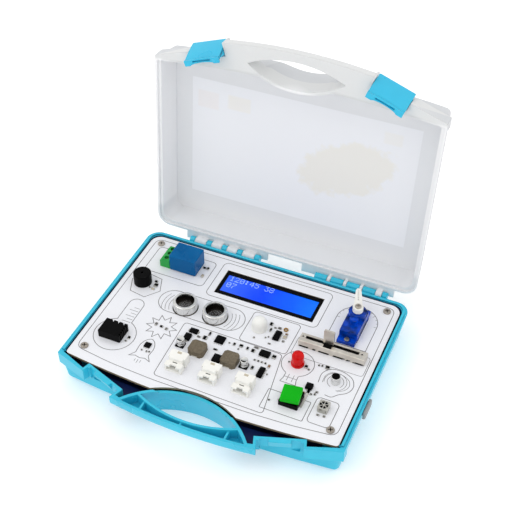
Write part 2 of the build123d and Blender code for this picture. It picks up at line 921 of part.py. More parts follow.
def gear_wheel(place, teeth, low, high, phase):
    x, y = place
    root = gear_radius(teeth) - gear_pitch * 1.15
    tip = gear_radius(teeth) + gear_pitch * 0.85
    wheel = Cylinder(root, high - low)
    half_root = gear_pitch * 0.75 - gear_tooth_gap
    half_tip = gear_pitch * 0.36 - gear_tooth_gap
    tooth = make_face(Polyline((root - 0.2, -half_root), (tip, -half_tip), (tip, half_tip),
                               (root - 0.2, half_root), close=True))
    bar = Pos(0, 0, -(high - low) / 2) * extrude(tooth, high - low)
    for index in range(teeth):
        wheel = wheel + Rot(0, 0, phase + 360 * index / teeth) * bar
    return Pos(x, y, (low + high) / 2) * wheel


def gear_levels():
    bottom, seam, tab, shelf, case_top = servo_levels()
    return shelf + 0.5, shelf + 0.5 + gear_thickness


def servo_output_gear():
    bottom, seam, tab, shelf, case_top = servo_levels()
    low, high = gear_levels()
    x, y = servo_shaft_place()
    wheel = gear_wheel((x, y), output_teeth, low, high, -90 + 180 / output_teeth)
    shaft = rod(x, y, 2.4, high - 0.5, case_top + servo_tower_height + 2.6)
    stub = rod(x, y, 1.32, shelf - 1.0, low + 0.5)
    return wheel + shaft + stub - rod(x, y, 0.8, case_top, case_top + 20)


def servo_idler_gear():
    low, high = gear_levels()
    bottom, seam, tab, shelf, case_top = servo_levels()
    wheel = gear_wheel(idler_place(), idler_teeth, low, high, 90)
    return wheel + rod(*idler_place(), 0.93, shelf - 1.0, low + 0.5)


def servo_pinion():
    low, high = gear_levels()
    bottom, seam, tab, shelf, case_top = servo_levels()
    wheel = gear_wheel(pinion_place(), pinion_teeth, low, high, 90)
    return wheel + rod(*pinion_place(), 0.54, shelf - 5.5, low + 0.5)


def horn_levels():
    bottom, seam, tab, shelf, case_top = servo_levels()
    low = case_top + servo_tower_height + 0.4
    return low, low + 3.4


def servo_horn():
    x, y = servo_shaft_place()
    low, high = horn_levels()
    hub = rod(x, y, 3.4, low, high)
    turn = 90 + servo_horn_angle
    arm = make_face(Polyline((0, -2.9), (servo_horn_length - 1.9, -1.8), (servo_horn_length, -0.9),
                             (servo_horn_length, 0.9), (servo_horn_length - 1.9, 1.8), (0, 2.9), close=True))
    blade = Pos(x, y, high - servo_horn_thickness) * Rot(0, 0, turn) * extrude(arm, servo_horn_thickness)
    horn = hub + blade
    shaft_end = case_top_of_shaft()
    horn = horn - rod(x, y, 2.42, low - 1, shaft_end + 0.02) - rod(x, y, 1.1, low, high + 1)
    for reach in (6.5, 8.5, 10.5, 12.5, 14.5):
        hole = Pos(x, y, high) * Rot(0, 0, turn) * Pos(reach, 0, 0) * Cylinder(0.5, 6)
        horn = horn - hole
    return horn


def case_top_of_shaft():
    bottom, seam, tab, shelf, case_top = servo_levels()
    return case_top + servo_tower_height + 2.6


def horn_screw():
    x, y = servo_shaft_place()
    low, high = horn_levels()
    return cross_head(x, y, 2.0, high, 1.0) + rod(x, y, 0.75, high - 4.0, high + 0.2)


def servo_tab_screws():
    top = panel_top + servo_tab_thickness
    return [cross_head(x, y, 1.7, top, 0.9) + rod(x, y, servo_screw_radius, panel_bottom - 2.0, top + 0.2)
            for x, y in servo_screw_places()]


def servo_nuts():
    return [rod(x, y, 2.0, panel_bottom - 1.6, panel_bottom) - rod(x, y, servo_screw_radius + 0.05, 0, rim_z)
            for x, y in servo_screw_places()]


def pot_frame():
    z1 = panel_top + pot_height
    frame = block_at(pot_x, pot_y, pot_length, pot_width, panel_top, z1)
    frame = fillet(frame.edges().filter_by(Axis.X).sort_by(Axis.Z)[-2:], 0.6)
    hollow = block_at(pot_x, pot_y, pot_length - 2 * pot_sheet, pot_width - 2 * pot_sheet,
                      panel_top - 1, z1 - pot_sheet)
    slot_x = pot_slot_x()
    slot = block_at(slot_x, pot_slot_y, pot_slot_length, pot_slot_width, z1 - 2, z1 + 1)
    frame = frame - hollow - slot
    front = pot_y - pot_width / 2
    left = pot_x - pot_length / 2 + pot_sheet
    for start, end in pot_gaps:
        frame = frame - block(left + start, left + end, front - 1, front + pot_sheet + 0.2, panel_top - 1,
                              panel_top + pot_foot_gap)
    for side in (-1, 1):
        frame = frame - rod(slot_x + side * (pot_slot_length / 2 + 1.9), pot_slot_y, 0.6, z1 - 2, z1 + 1)
    return frame


def pot_slot_x():
    return pot_knob_x + (pot_travel_low + pot_travel_high) / 2


def pot_track():
    return block_at(pot_x, pot_y, pot_length - 2 * pot_sheet - 0.1, pot_width - 2 * pot_sheet - 0.1,
                    panel_top, panel_top + 1.2)


def pot_carriage():
    low = panel_top + 1.25
    z1 = panel_top + pot_height
    plate_low = z1 + 0.1
    plate_high = plate_low + pot_plate_height
    shoe = block_at(pot_knob_x, pot_slot_y, 5.4, 4.6, low, z1 - pot_sheet - 0.1)
    stem = block_at(pot_knob_x, pot_slot_y, pot_stem_width, pot_slot_width - 0.2, low + 1, plate_high)
    rear = pot_slot_y + pot_lever_thickness / 2
    plate = block(pot_knob_x - pot_plate_width / 2, pot_knob_x + pot_plate_width / 2, rear - pot_plate_depth,
                  rear, plate_low, plate_high)
    return shoe + stem + plate


def pot_lever():
    z1 = panel_top + pot_height
    low = z1 + 0.1 + pot_plate_height
    blade = block_at(pot_knob_x, pot_slot_y, pot_lever_width, pot_lever_thickness, low, z1 + pot_lever_top)
    return fillet(blade.edges().filter_by(Axis.Y).sort_by(Axis.Z)[-2:], 0.6)


def relay_case():
    top = panel_top + relay_height
    low = panel_top + relay_standoff
    case = block(relay_x0, relay_x1, relay_y0, relay_y1, low, top)
    case = fillet(case.edges().filter_by(Axis.Z), 0.8)
    case = fillet(case.faces().sort_by(Axis.Z)[-1].edges(), 0.6)
    return case - block(relay_x0 + 0.9, relay_x1 - 0.9, relay_y0 + 0.9, relay_y1 - 0.9, low - 1, top - 0.9)


def relay_base():
    low = panel_top + relay_standoff
    plate = block(relay_x0 + 0.95, relay_x1 - 0.95, relay_y0 + 0.95, relay_y1 - 0.95, low, low + 1.4)
    feet = [rod(x, y, 0.5, panel_top, low + 0.1) for x in (relay_x0 + 2.5, relay_x1 - 2.5)
            for y in (relay_y0 + 2.5, relay_y1 - 2.5)]
    return plate + feet


def relay_coil():
    low = panel_top + relay_standoff + 1.4
    x = (relay_x0 + relay_x1) / 2 - 1.5
    y = (relay_y0 + relay_y1) / 2
    bobbin = rod(x, y, 3.4, low, low + 7.6)
    return bobbin + rod(x, y, 4.6, low, low + 0.8) + rod(x, y, 4.6, low + 6.8, low + 7.6)


def relay_armature():
    low = panel_top + relay_standoff + 1.4
    x = (relay_x0 + relay_x1) / 2 - 1.5
    y = (relay_y0 + relay_y1) / 2
    top = low + 7.6
    arm = block_at(x + 1.0, y, 11.0, 7.0, top, top + 0.8)
    return arm + block(x + 5.3, x + 6.5, y - 3.5, y + 3.5, low, top + 0.8)


def terminal_pitch():
    return (terminal_y1 - terminal_y0) / 3


def terminal_block():
    x1 = relay_x0 - 0.3
    body = block(terminal_x0, x1, terminal_y0, terminal_y1, panel_top, panel_top + terminal_height)
    slope = block(terminal_x0 - 1, terminal_x0 + 1.5, terminal_y0 - 1, terminal_y1 + 1,
                  panel_top + terminal_height - 2.2, panel_top + terminal_height + 1)
    body = body - slope
    for index in range(3):
        y = terminal_y0 + terminal_pitch() * (index + 0.5)
        body = body - rod(terminal_screw_x(), y, 1.65, panel_top + terminal_height - 3.4, panel_top + 20)
        body = body - block(terminal_x0 - 1, terminal_x0 + 2.8, y - 1.5, y + 1.5,
                            panel_top + 1.2, panel_top + 4.2)
    return body


def terminal_screw_x():
    return (terminal_x0 + 1.5 + relay_x0 - 0.3) / 2


def terminal_screws():
    low = panel_top + terminal_height - 3.4
    screws = []
    for index in range(3):
        y = terminal_y0 + terminal_pitch() * (index + 0.5)
        screw = rod(terminal_screw_x(), y, 1.5, low, low + 1.5)
        screws.append(screw - block_at(terminal_screw_x(), y, 4, 0.5, low + 0.9, low + 2))
    return screws


def buzzer_body():
    top = panel_top + buzzer_height
    body = rod(buzzer_x, buzzer_y, buzzer_radius, panel_top, top)
    body = fillet(body.faces().sort_by(Axis.Z)[-1].edges(), 0.6)
    body = body - rod(buzzer_x, buzzer_y, buzzer_radius - 1.0, panel_top + 1.5, top - 1.0)
    return body - rod(buzzer_x, buzzer_y, 0.9, top - 3, top + 1)


def buzzer_disc():
    return rod(buzzer_x, buzzer_y, buzzer_radius - 1.1, panel_top + 1.5, panel_top + 1.9)


def climate_case():
    # The humidity sensor's case: notches along its rear top edge, upright ribs on its right side
    top = panel_top + climate_height
    case = block_at(climate_x, climate_y, climate_length, climate_width, panel_top, top)
    case = case - block_at(climate_x, climate_y, climate_length - 2 * climate_wall,
                           climate_width - 2 * climate_wall, panel_top - 1, top - 1.2)
    rear = climate_y + climate_width / 2
    right = climate_x + climate_length / 2
    step = climate_length / (climate_notches + 1)
    for index in range(climate_notches):
        x = right - step * (index + 0.7)
        case = case - block(x - 0.6, x + 0.6, rear - 1.5, rear + 1, top - 3.0, top + 1)
    step = climate_width / (climate_ribs + 1)
    for index in range(climate_ribs):
        y = rear - step * (index + 1)
        case = case - block(right - 1.2, right + 1, y - 0.5, y + 0.5, panel_top + 0.8, top + 1)
    return case


def climate_board():
    return block_at(climate_x, climate_y, climate_length - 2 * climate_wall - 0.2,
                    climate_width - 2 * climate_wall - 0.2, panel_top, panel_top + 1.4)


def dome_lens():
    # The motion sensor's hollow lens: a thin flange, a short round wall and a half ball
    shoulder = panel_top + dome_shoulder
    inner = dome_radius - dome_wall
    flange = rod(dome_x, dome_y, dome_flange_radius, panel_top, panel_top + dome_flange_height)
    outside = rod(dome_x, dome_y, dome_radius, panel_top, shoulder)
    outside = outside + Pos(dome_x, dome_y, shoulder) * Sphere(dome_radius)
    hollow = rod(dome_x, dome_y, inner, panel_top - 1, shoulder)
    hollow = hollow + Pos(dome_x, dome_y, shoulder) * Sphere(inner)
    return flange + outside - hollow


def dome_sensor():
    can = rod(dome_x, dome_y, dome_radius - dome_wall - dome_sensor_gap, panel_top, panel_top + 3.2)
    return can - block_at(dome_x, dome_y, 3.2, 2.4, panel_top + 2.6, panel_top + 4)


def led_lens():
    low = panel_top
    flange = rod(led_x, led_y, led_flange_radius, low, low + 1.4)
    body = rod(led_x, led_y, led_radius, low, low + led_height - led_radius)
    ball = Pos(led_x, led_y, low + led_height - led_radius) * Sphere(led_radius)
    hollow = block_at(led_x, led_y, 3.4, 1.6, low - 1, low + 5.4)
    return flange + body + ball - hollow


def led_frame():
    low = panel_top
    post = block(led_x - 1.5, led_x - 0.3, led_y - 0.4, led_y + 0.4, low, low + 4.6)
    anvil = block(led_x + 0.2, led_x + 1.3, led_y - 0.4, led_y + 0.4, low, low + 3.8)
    return [post, anvil]


def switch_base():
    top = panel_top + button_base_height
    base = block_at(button_x, button_y, button_size, button_size, panel_top, top)
    base = fillet(base.edges().filter_by(Axis.Z), 0.5)
    return base - rod(button_x, button_y, 3.55, panel_top + 0.8, top + 1)


def switch_legs():
    reach = button_size / 2
    legs = []
    for side in (-1, 1):
        for along in (-2.5, 2.5):
            x0 = button_x + side * (reach + 0.05)
            x1 = button_x + side * (reach + 1.7)
            y = button_y + along
            legs.append(block(min(x0, x1), max(x0, x1), y - 0.45, y + 0.45, panel_top, panel_top + 0.5))
    return legs


def button_plunger():
    low = panel_top + 0.8 + button_travel + 0.1
    cap_low = panel_top + button_base_height + button_travel + 0.3
    return rod(button_x, button_y, 3.5, low, cap_low)


def button_cap():
    low = panel_top + button_base_height + button_travel + 0.3
    cap = Pos(button_x, button_y, low + button_cap_height / 2) * Rot(0, 0, button_cap_turn)
    cap = cap * Box(button_cap_size, button_cap_size, button_cap_height)
    cap = fillet(cap.edges().filter_by(Axis.Z), 0.9)
    return fillet(cap.faces().sort_by(Axis.Z)[-1].edges(), 0.5)


def microphone_can():
    top = panel_top + mic_height
    can = rod(mic_x, mic_y, mic_radius, panel_top, top)
    can = fillet(can.faces().sort_by(Axis.Z)[-1].edges(), 0.4)
    return can - rod(mic_x, mic_y, mic_radius - 0.4, panel_top - 1, top - 0.5)


def microphone_felt():
    return rod(mic_x, mic_y, mic_felt_radius, panel_top + mic_height, panel_top + mic_height + 0.35)


def infrared_shield():
    low = panel_top
    top = low + infrared_height
    shield = block_at(infrared_x, infrared_y, infrared_length, infrared_width, low, top)
    shield = fillet(shield.edges().filter_by(Axis.Z), 0.8)
    shield = shield - block_at(infrared_x, infrared_y, infrared_length - 2 * infrared_sheet,
                               infrared_width - 2 * infrared_sheet, low - 1, top - infrared_sheet)
    window = rod(infrared_x, infrared_y, 2.7, top - 1, top + 1)
    for turn in (30, 90, 150):
        window = window - Pos(infrared_x, infrared_y, top) * Rot(0, 0, turn) * Box(6, 0.5, 4)
    return shield - window


def infrared_receiver():
    low = panel_top
    length = infrared_length - 2 * infrared_sheet - 0.2
    width = infrared_width - 2 * infrared_sheet - 0.2
    body = block_at(infrared_x, infrared_y, length, width, low, low + 2.0)
    ball = Pos(infrared_x, infrared_y, low + 0.9) * Sphere(2.5)
    return body + (ball & rod(infrared_x, infrared_y, 2.6, low + 1, low + infrared_height))


def cable_connector(x):
    # A white cable socket: a low front step, a taller rear step and side notches
    y0 = connector_y0
    y1 = connector_y0 + connector_depth
    half = connector_width / 2
    top = panel_top + connector_height
    body = block(x - half, x + half, y0, y1, panel_top, top)
    body = body - block(x - half - 1, x + half + 1, y0 - 1, y0 + connector_step_depth,
                        top - connector_step_drop, top + 1)
    for side in (-1, 1):
        edge = x + side * half
        inner = edge - side * connector_notch_depth
        notch = block(min(edge, inner), max(edge, inner), y0 + connector_notch_y0, y0 + connector_notch_y1,
                      panel_top - 1, top + 1)
        body = body - notch
    mouth = block(x - half + connector_mouth_floor, x + half - connector_mouth_floor, y0 - 1,
                  y0 + connector_mouth_depth, panel_top + connector_mouth_floor, top - connector_mouth_drop)
    latch_gap = block(x - 2.0, x + 2.0, y0 - 1, y0 + 1.6, top - connector_mouth_drop - 0.3, top + 1)
    return body - mouth - latch_gap


def connector_pins(x):
    y0 = connector_y0 + connector_pin_start
    y1 = connector_y0 + connector_mouth_depth
    z = panel_top + connector_pin_rise
    half = connector_pin_half
    places = [x + offset for offset in (-3, -1, 1, 3)]
    return [block(place - half, place + half, y0, y1, z - half, z + half) for place in places]


def inductor(x, y):
    top = panel_top + inductor_height
    body = block_at(x, y, inductor_size, inductor_size, panel_top, top)
    body = chamfer(body.edges().filter_by(Axis.Z), inductor_corner)
    return fillet(body.faces().sort_by(Axis.Z)[-1].edges(), 0.4)


def capacitor_base(x, y):
    size = capacitor_base_size
    base = block_at(x, y, size, size, panel_top, panel_top + capacitor_base_height)
    return chamfer(base.edges().filter_by(Axis.Z).sort_by(Axis.Y)[-2:], capacitor_base_corner)


def capacitor_can(x, y):
    low = panel_top + capacitor_base_height
    top = panel_top + capacitor_height
    can = rod(x, y, capacitor_radius, low, top)
    return fillet(can.faces().sort_by(Axis.Z)[-1].edges(), 0.5)


# Chips on the panel: centre x, centre y, length in x, length in y, height, kind of legs.
# Rows are thin legs and tabs are one wide leg, on the two sides that look along that axis.
chips = (
    (-24.4, -12.6, 5.7, 3.8, 1.3, "tabs_x"),
    (-25.8, -19.0, 4.2, 5.4, 2.0, "tabs_y"),
    (-6.1, -12.8, 6.2, 6.2, 1.2, "rows_y"),
    (-1.2, -28.3, 5.2, 6.0, 2.2, "tabs_y"),
    (24.3, -12.6, 6.8, 4.6, 1.8, "rows_y"),
    (28.0, -27.4, 3.6, 8.2, 1.7, "rows_x"),
    (25.4, 4.6, 4.0, 8.0, 1.7, "rows_x"),
    (59.0, -26.0, 4.4, 4.2, 2.2, "tabs_y"),
    (-45.6, -35.0, 4.2, 4.0, 1.1, "rows_y"),
)
leg_reach = 0.9
leg_gap = 0.1
leg_width = 0.42
leg_thickness = 0.3

# Small parts: centre x, centre y, length in x, length in y, height
small_parts = (
    (-67.3, 18.0, 2.2, 1.4, 0.9), (-65.9, 14.6, 2.4, 3.2, 1.1), (-66.2, 10.9, 2.4, 1.4, 0.7),
    (-68.9, 11.6, 1.4, 0.9, 0.6), (-59.5, -34.0, 1.6, 2.4, 0.8), (-60.0, -37.2, 1.6, 1.0, 0.6),
    (-49.3, -16.6, 1.6, 2.4, 0.8), (-45.2, -17.2, 2.2, 1.4, 0.8), (-41.4, -17.9, 1.8, 1.8, 0.8),
    (-47.3, -39.8, 1.2, 1.0, 0.6), (-44.0, -39.8, 1.0, 1.4, 0.6), (-42.3, -39.5, 1.0, 1.4, 0.6),
    (-43.6, 42.8, 2.4, 1.2, 0.9), (-41.2, 43.0, 1.4, 2.2, 0.9), (-41.6, 35.0, 1.6, 2.8, 1.0),
    (-19.6, -15.6, 2.4, 1.2, 0.7), (-14.2, -10.6, 1.2, 3.4, 0.8), (-15.6, -14.9, 2.8, 2.8, 0.8),
    (0.2, -12.6, 1.2, 0.9, 0.6), (3.5, -12.4, 1.4, 2.4, 0.7), (8.1, -12.1, 2.2, 2.4, 0.9),
    (7.5, -15.2, 1.2, 1.0, 0.6), (12.5, -12.4, 1.4, 2.6, 0.7), (16.5, -12.8, 2.6, 2.2, 0.9),
    (17.4, -9.6, 3.4, 1.2, 0.8), (30.4, -12.4, 2.4, 3.0, 0.9), (20.4, -19.2, 1.6, 1.2, 0.6),
    (22.8, -19.2, 1.6, 1.2, 0.6), (25.2, -19.2, 1.6, 1.2, 0.6), (27.6, -19.2, 1.6, 1.2, 0.6),
    (30.5, -20.7, 1.4, 2.6, 0.8), (31.9, -27.0, 1.0, 1.0, 0.6), (21.6, -25.8, 1.6, 3.0, 0.7),
    (-5.4, -21.2, 3.0, 1.2, 0.7), (18.1, 12.8, 2.2, 2.2, 1.0), (19.6, 7.9, 1.2, 3.0, 0.8),
    (21.6, 10.8, 1.8, 1.0, 0.6), (24.4, 11.5, 2.4, 1.4, 0.8), (30.3, 8.4, 2.0, 1.2, 0.7),
    (30.2, 5.5, 2.4, 2.6, 0.8), (30.5, 2.0, 1.8, 1.4, 0.6), (12.4, -2.3, 1.2, 1.4, 0.6),
    (19.1, 0.6, 1.0, 1.2, 0.6), (20.6, 1.9, 1.0, 1.0, 0.6), (23.3, -3.3, 2.0, 1.0, 0.6),
    (40.3, -12.1, 1.2, 1.0, 0.6), (51.4, -11.8, 1.8, 2.6, 0.9), (53.6, -13.2, 1.6, 1.2, 0.6),
    (58.2, -7.5, 1.2, 1.2, 0.6), (60.2, -7.1, 1.2, 1.2, 0.6), (63.6, -7.3, 2.4, 2.6, 1.0),
    (57.7, -31.4, 2.0, 1.4, 0.8), (60.0, -30.9, 1.2, 1.2, 0.6), (61.9, -30.8, 1.2, 1.4, 0.6),
    (64.1, -29.9, 1.4, 1.2, 0.7), (64.6, -27.9, 2.0, 1.2, 0.7), (71.2, -43.7, 2.0, 1.0, 0.7),
    (75.0, -43.3, 1.6, 1.2, 0.7), (40.7, -44.6, 1.4, 1.0, 0.6),
)
coil_ring_x = 28.5
coil_ring_y = 11.7
coil_ring_radius = 1.6
coil_ring_hole = 0.7
coil_ring_height = 1.1


def chip_bodies():
    return [fillet(block_at(x, y, length, width, panel_top + 0.15, panel_top + height)
                   .edges().filter_by(Axis.Z), 0.25) for x, y, length, width, height, kind in chips]


def legs_of(x, y, length, width, kind):
    # One chip's legs, on the panel at two opposite sides of its body
    along_x = kind.endswith("x")
    run = width if along_x else length
    half = (length if along_x else width) / 2
    count = max(int(run / 1.27), 3) if kind.startswith("rows") else 1
    thick = leg_width if kind.startswith("rows") else run * 0.55
    reach = leg_reach - leg_gap
    legs = []
    for index in range(count):
        along = (index - (count - 1) / 2) * run / count
        for side in (-1, 1):
            out = side * (half + leg_gap + reach / 2)
            place = (x + out, y + along) if along_x else (x + along, y + out)
            size = (reach, thick) if along_x else (thick, reach)
            legs.append(block_at(*place, *size, panel_top, panel_top + leg_thickness))
    return legs


def chip_legs():
    return [leg for x, y, length, width, height, kind in chips for leg in legs_of(x, y, length, width, kind)]


def small_bodies():
    parts = [block_at(x, y, length, width, panel_top, panel_top + height)
             for x, y, length, width, height in small_parts]
    ring = rod(coil_ring_x, coil_ring_y, coil_ring_radius, panel_top, panel_top + coil_ring_height)
    return [*parts, ring - rod(coil_ring_x, coil_ring_y, coil_ring_hole, panel_top - 1, panel_top + 5)]


def usb_socket():
    # The socket hangs under the panel's right edge, open toward the wall
    x1 = panel_half_width - 0.4
    x0 = x1 - usb_length
    half = usb_width / 2
    low = panel_bottom - usb_height
    mid = panel_bottom - usb_height / 2
    shell = block(x0, x1, usb_y - half, usb_y + half, low, panel_bottom)
    mouth = block(x0 + 1.4, x1 + 1, usb_y - half + usb_sheet, usb_y + half - usb_sheet,
                  low + usb_sheet, panel_bottom - usb_sheet)
    tongue = block(x0 + 1, x1 - 1.0, usb_y - usb_tongue_half, usb_y + usb_tongue_half,
                   mid - usb_tongue_thickness / 2, mid + usb_tongue_thickness / 2)
    return shell - mouth + tongue


def usb_wall_x():
    # The right wall's outer face at the socket's mid height
    mid = panel_bottom - usb_height / 2
    return case_half_width - side_draft * (1 - mid / half_height)


def usb_dust_cap():
    # A soft cap outside the wall with a plug that fills the wall's opening
    wall_x = usb_wall_x()
    mid = panel_bottom - usb_height / 2 - cap_drop
    face = block(wall_x + 0.6, wall_x + cap_proud, usb_y - cap_width / 2, usb_y + cap_width / 2,
                 mid - cap_rise / 2, mid + cap_rise / 2)
    face = fillet(face.edges().filter_by(Axis.X), cap_corner)
    face = fillet(face.faces().sort_by(Axis.X)[-1].edges(), 0.8)
    half = usb_width / 2 + usb_gap - cap_fit
    plug = block(wall_x - 2.4, wall_x + 1.0, usb_y - half, usb_y + half,
                 panel_bottom - usb_height - usb_gap + cap_fit, panel_bottom - usb_opening_drop - cap_fit)
    return face + plug


def turned(side, shape):
    return shape if side > 0 else mirror(shape, Plane.YZ)


def write_case():
    save("base_shell", base_shell())
    save("lid_shell", lid_shell())
    save("lid_label", lid_label())
    for name, side in (("right", 1), ("left", -1)):
        save("latch_" + name, open_lid(turned(side, latch())))
    save("usb_socket", usb_socket())
    save("usb_dust_cap", usb_dust_cap())


def write_display():
    save("lcd_bezel", lcd_bezel())
    save("lcd_glass", lcd_glass())
    save("lcd_backlight", lcd_backlight())
    save("lcd_board", lcd_board())
    save("board_supports", lcd_header(), *sonar_posts())


def write_sonar():
    save("sonar_board", sonar_board())
    save("sonar_cans", *[sonar_can(*place) for place in can_places])
    save("sonar_meshes", *[sonar_mesh(*place) for place in can_places])
    save("sonar_cones", *[sonar_cone(*place) for place in can_places])


def write_servo():
    save("servo_case_bottom", servo_case_bottom())
    save("servo_case_middle", servo_case_middle())
    save("servo_case_top", servo_case_top())
    save("servo_motor", servo_motor())
    save("servo_output_gear", servo_output_gear())
    save("servo_idler_gear", servo_idler_gear())
    save("servo_pinion", servo_pinion())
    save("servo_horn", servo_horn())
    save("horn_screw", horn_screw())
    save("servo_fixings", *servo_tab_screws(), *servo_nuts())


def write_controls():
    save("pot_frame", pot_frame())
    save("pot_track", pot_track())
    save("pot_carriage", pot_carriage())
    save("pot_lever", pot_lever())
    save("switch_base", switch_base())
    save("button_plunger", button_plunger())
    save("button_cap", button_cap())


def write_relay():
    save("relay_case", relay_case())
    save("relay_base", relay_base())
    save("relay_works", relay_coil(), relay_armature())
    save("terminal_block", terminal_block())
    save("terminal_screws", *terminal_screws())


def write_sensors():
    save("buzzer_body", buzzer_body())
    save("buzzer_disc", buzzer_disc())
    save("climate_case", climate_case())
    save("climate_board", climate_board())
    save("motion_lens", dome_lens())
    save("motion_sensor", dome_sensor())
    save("led_lens", led_lens())
    save("led_frame", *led_frame())
    save("microphone_can", microphone_can())
    save("microphone_felt", microphone_felt())
    save("infrared_shield", infrared_shield())
    save("infrared_receiver", infrared_receiver())


def write_panel():
    save("panel_board", panel_board())
    save("panel_screws", *panel_screws())
    save("cable_connectors", *[cable_connector(x) for x in connector_places])
    save("connector_pins", *[pin for x in connector_places for pin in connector_pins(x)])
    save("inductors", *[inductor(*place) for place in inductor_places])
    save("capacitor_bases", *[capacitor_base(*place) for place in capacitor_places])
    save("capacitor_cans", *[capacitor_can(*place) for place in capacitor_places])
    save("chip_bodies", *chip_bodies())
    save("part_legs", *chip_legs(), *switch_legs())
    save("small_parts", *small_bodies())


write_case()
write_display()
write_sonar()
write_servo()
write_controls()
write_relay()
write_sensors()
write_panel()
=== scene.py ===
import bpy
import bmesh
from math import sin, cos, tan, pi, radians, sqrt
from mathutils import Vector, Matrix, Euler


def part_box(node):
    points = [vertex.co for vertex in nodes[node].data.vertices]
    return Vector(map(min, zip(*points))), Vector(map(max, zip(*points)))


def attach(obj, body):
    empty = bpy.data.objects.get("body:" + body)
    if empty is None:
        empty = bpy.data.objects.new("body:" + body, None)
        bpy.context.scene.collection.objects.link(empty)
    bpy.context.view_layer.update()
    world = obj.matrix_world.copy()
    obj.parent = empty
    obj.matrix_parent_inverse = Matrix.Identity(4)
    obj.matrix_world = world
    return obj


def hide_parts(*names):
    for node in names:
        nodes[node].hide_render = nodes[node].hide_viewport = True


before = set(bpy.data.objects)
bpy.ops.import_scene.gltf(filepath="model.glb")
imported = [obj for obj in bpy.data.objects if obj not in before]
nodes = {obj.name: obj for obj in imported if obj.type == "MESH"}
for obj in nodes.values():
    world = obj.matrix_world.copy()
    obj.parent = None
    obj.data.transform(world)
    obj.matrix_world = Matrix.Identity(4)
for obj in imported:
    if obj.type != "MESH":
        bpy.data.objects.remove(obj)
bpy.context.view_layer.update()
mm = 0.001
print("case and panel loaded:", len(nodes), "nodes")


# every piece is drawn in mm and scaled once, when its mesh is made
def addObject(name, mesh, body, slotName, *finishNames):
    piece = bpy.data.objects.new(name, mesh)
    bpy.context.scene.collection.objects.link(piece)
    for finishName in finishNames:
        mesh.materials.append(finish[finishName])
    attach(piece, body)
    return piece


def meshFrom(name, points, faces):
    mesh = bpy.data.meshes.new(name)
    mesh.from_pydata([(x * mm, y * mm, z * mm) for x, y, z in points], [], faces)
    mesh.update()
    return mesh


def closeMesh(bm, name, sharpAngle):
    bmesh.ops.scale(bm, vec=(mm, mm, mm), verts=bm.verts)
    bmesh.ops.recalc_face_normals(bm, faces=bm.faces)
    mesh = bpy.data.meshes.new(name)
    bm.to_mesh(mesh)
    bm.free()
    mesh.shade_smooth()
    mesh.set_sharp_from_angle(angle=radians(sharpAngle))
    return mesh


def addForm(name, bm, body, slotName, *finishNames, sharpAngle=38):
    return addObject(name, closeMesh(bm, name, sharpAngle), body, slotName, *finishNames)


def facedCopy(name, nodeName, faceKind):
    # a node's own mesh, each face numbered for its finish by where it is
    mesh = nodes[nodeName].data.copy()
    mesh.name = name
    mesh.materials.clear()
    kinds = [faceKind(face.center, face.normal) for face in mesh.polygons]
    mesh.polygons.foreach_set("material_index", kinds)
    print(name, "faces by finish:", [kinds.count(kind) for kind in sorted(set(kinds))])
    return mesh


def looseBoxes(nodeName):
    # the lowest and highest corner of each separate solid in a node, in mm
    bm = bmesh.new()
    bm.from_mesh(nodes[nodeName].data)
    bmesh.ops.remove_doubles(bm, verts=bm.verts, dist=1e-6)
    seen, boxes = set(), []
    for vert in bm.verts:
        if vert in seen:
            continue
        group, stack = [], [vert]
        seen.add(vert)
        while stack:
            here = stack.pop()
            group.append(here.co)
            for edge in here.link_edges:
                other = edge.other_vert(here)
                if other not in seen:
                    seen.add(other)
                    stack.append(other)
        low = [min(co[i] for co in group) / mm for i in range(3)]
        high = [max(co[i] for co in group) / mm for i in range(3)]
        boxes.append((low, high))
    bm.free()
    return sorted(boxes)


def middleOf(low, high):
    return (low[0] + high[0]) / 2, (low[1] + high[1]) / 2


def arc(cx, cy, radius, start, end, steps=24):
    angles = [radians(start + (end - start) * i / steps) for i in range(steps + 1)]
    return [(cx + radius * cos(a), cy + radius * sin(a)) for a in angles]


def softBlock(bm, low, high, edge, slotIndex=0, taper=0.0, turn=0.0):
    # a block with rounded edges, drawn in at its top by the taper and turned about its middle
    before = set(bm.faces)
    made = bmesh.ops.create_cube(bm, size=1.0)["verts"]
    middle = Vector([(a + b) / 2 for a, b in zip(low, high)])
    size = Vector([b - a for a, b in zip(low, high)])
    spin = Matrix.Rotation(radians(turn), 3, "Z")
    for vert in made:
        shrink = 1 - taper if vert.co.z > 0 else 1.0
        x, y, z = vert.co
        vert.co = spin @ Vector((x * size.x * shrink, y * size.y * shrink, z * size.z)) + middle
    edges = list({link for vert in made for link in vert.link_edges})
    bmesh.ops.bevel(bm, geom=edges, offset=edge, segments=2, profile=0.5, affect="EDGES")
    for face in set(bm.faces) - before:
        face.material_index = slotIndex


def turnedForm(bm, x, y, profile, slotIndex=0, steps=40):
    # a profile of (radius, z) points turned about the upright axis at x, y
    angles = [radians(360 * i / steps) for i in range(steps)]
    rings = []
    for radius, z in profile:
        if radius < 1e-6:
            rings.append([bm.verts.new((x, y, z))])
        else:
            rings.append([bm.verts.new((x + radius * cos(a), y + radius * sin(a), z)) for a in angles])
    for low, high in zip(rings, rings[1:]):
        for i in range(steps):
            j = (i + 1) % steps
            corners = (low[i % len(low)], low[j % len(low)], high[j % len(high)], high[i % len(high)])
            corners = list(dict.fromkeys(corners))
            if len(corners) > 2:
                bm.faces.new(corners).material_index = slotIndex


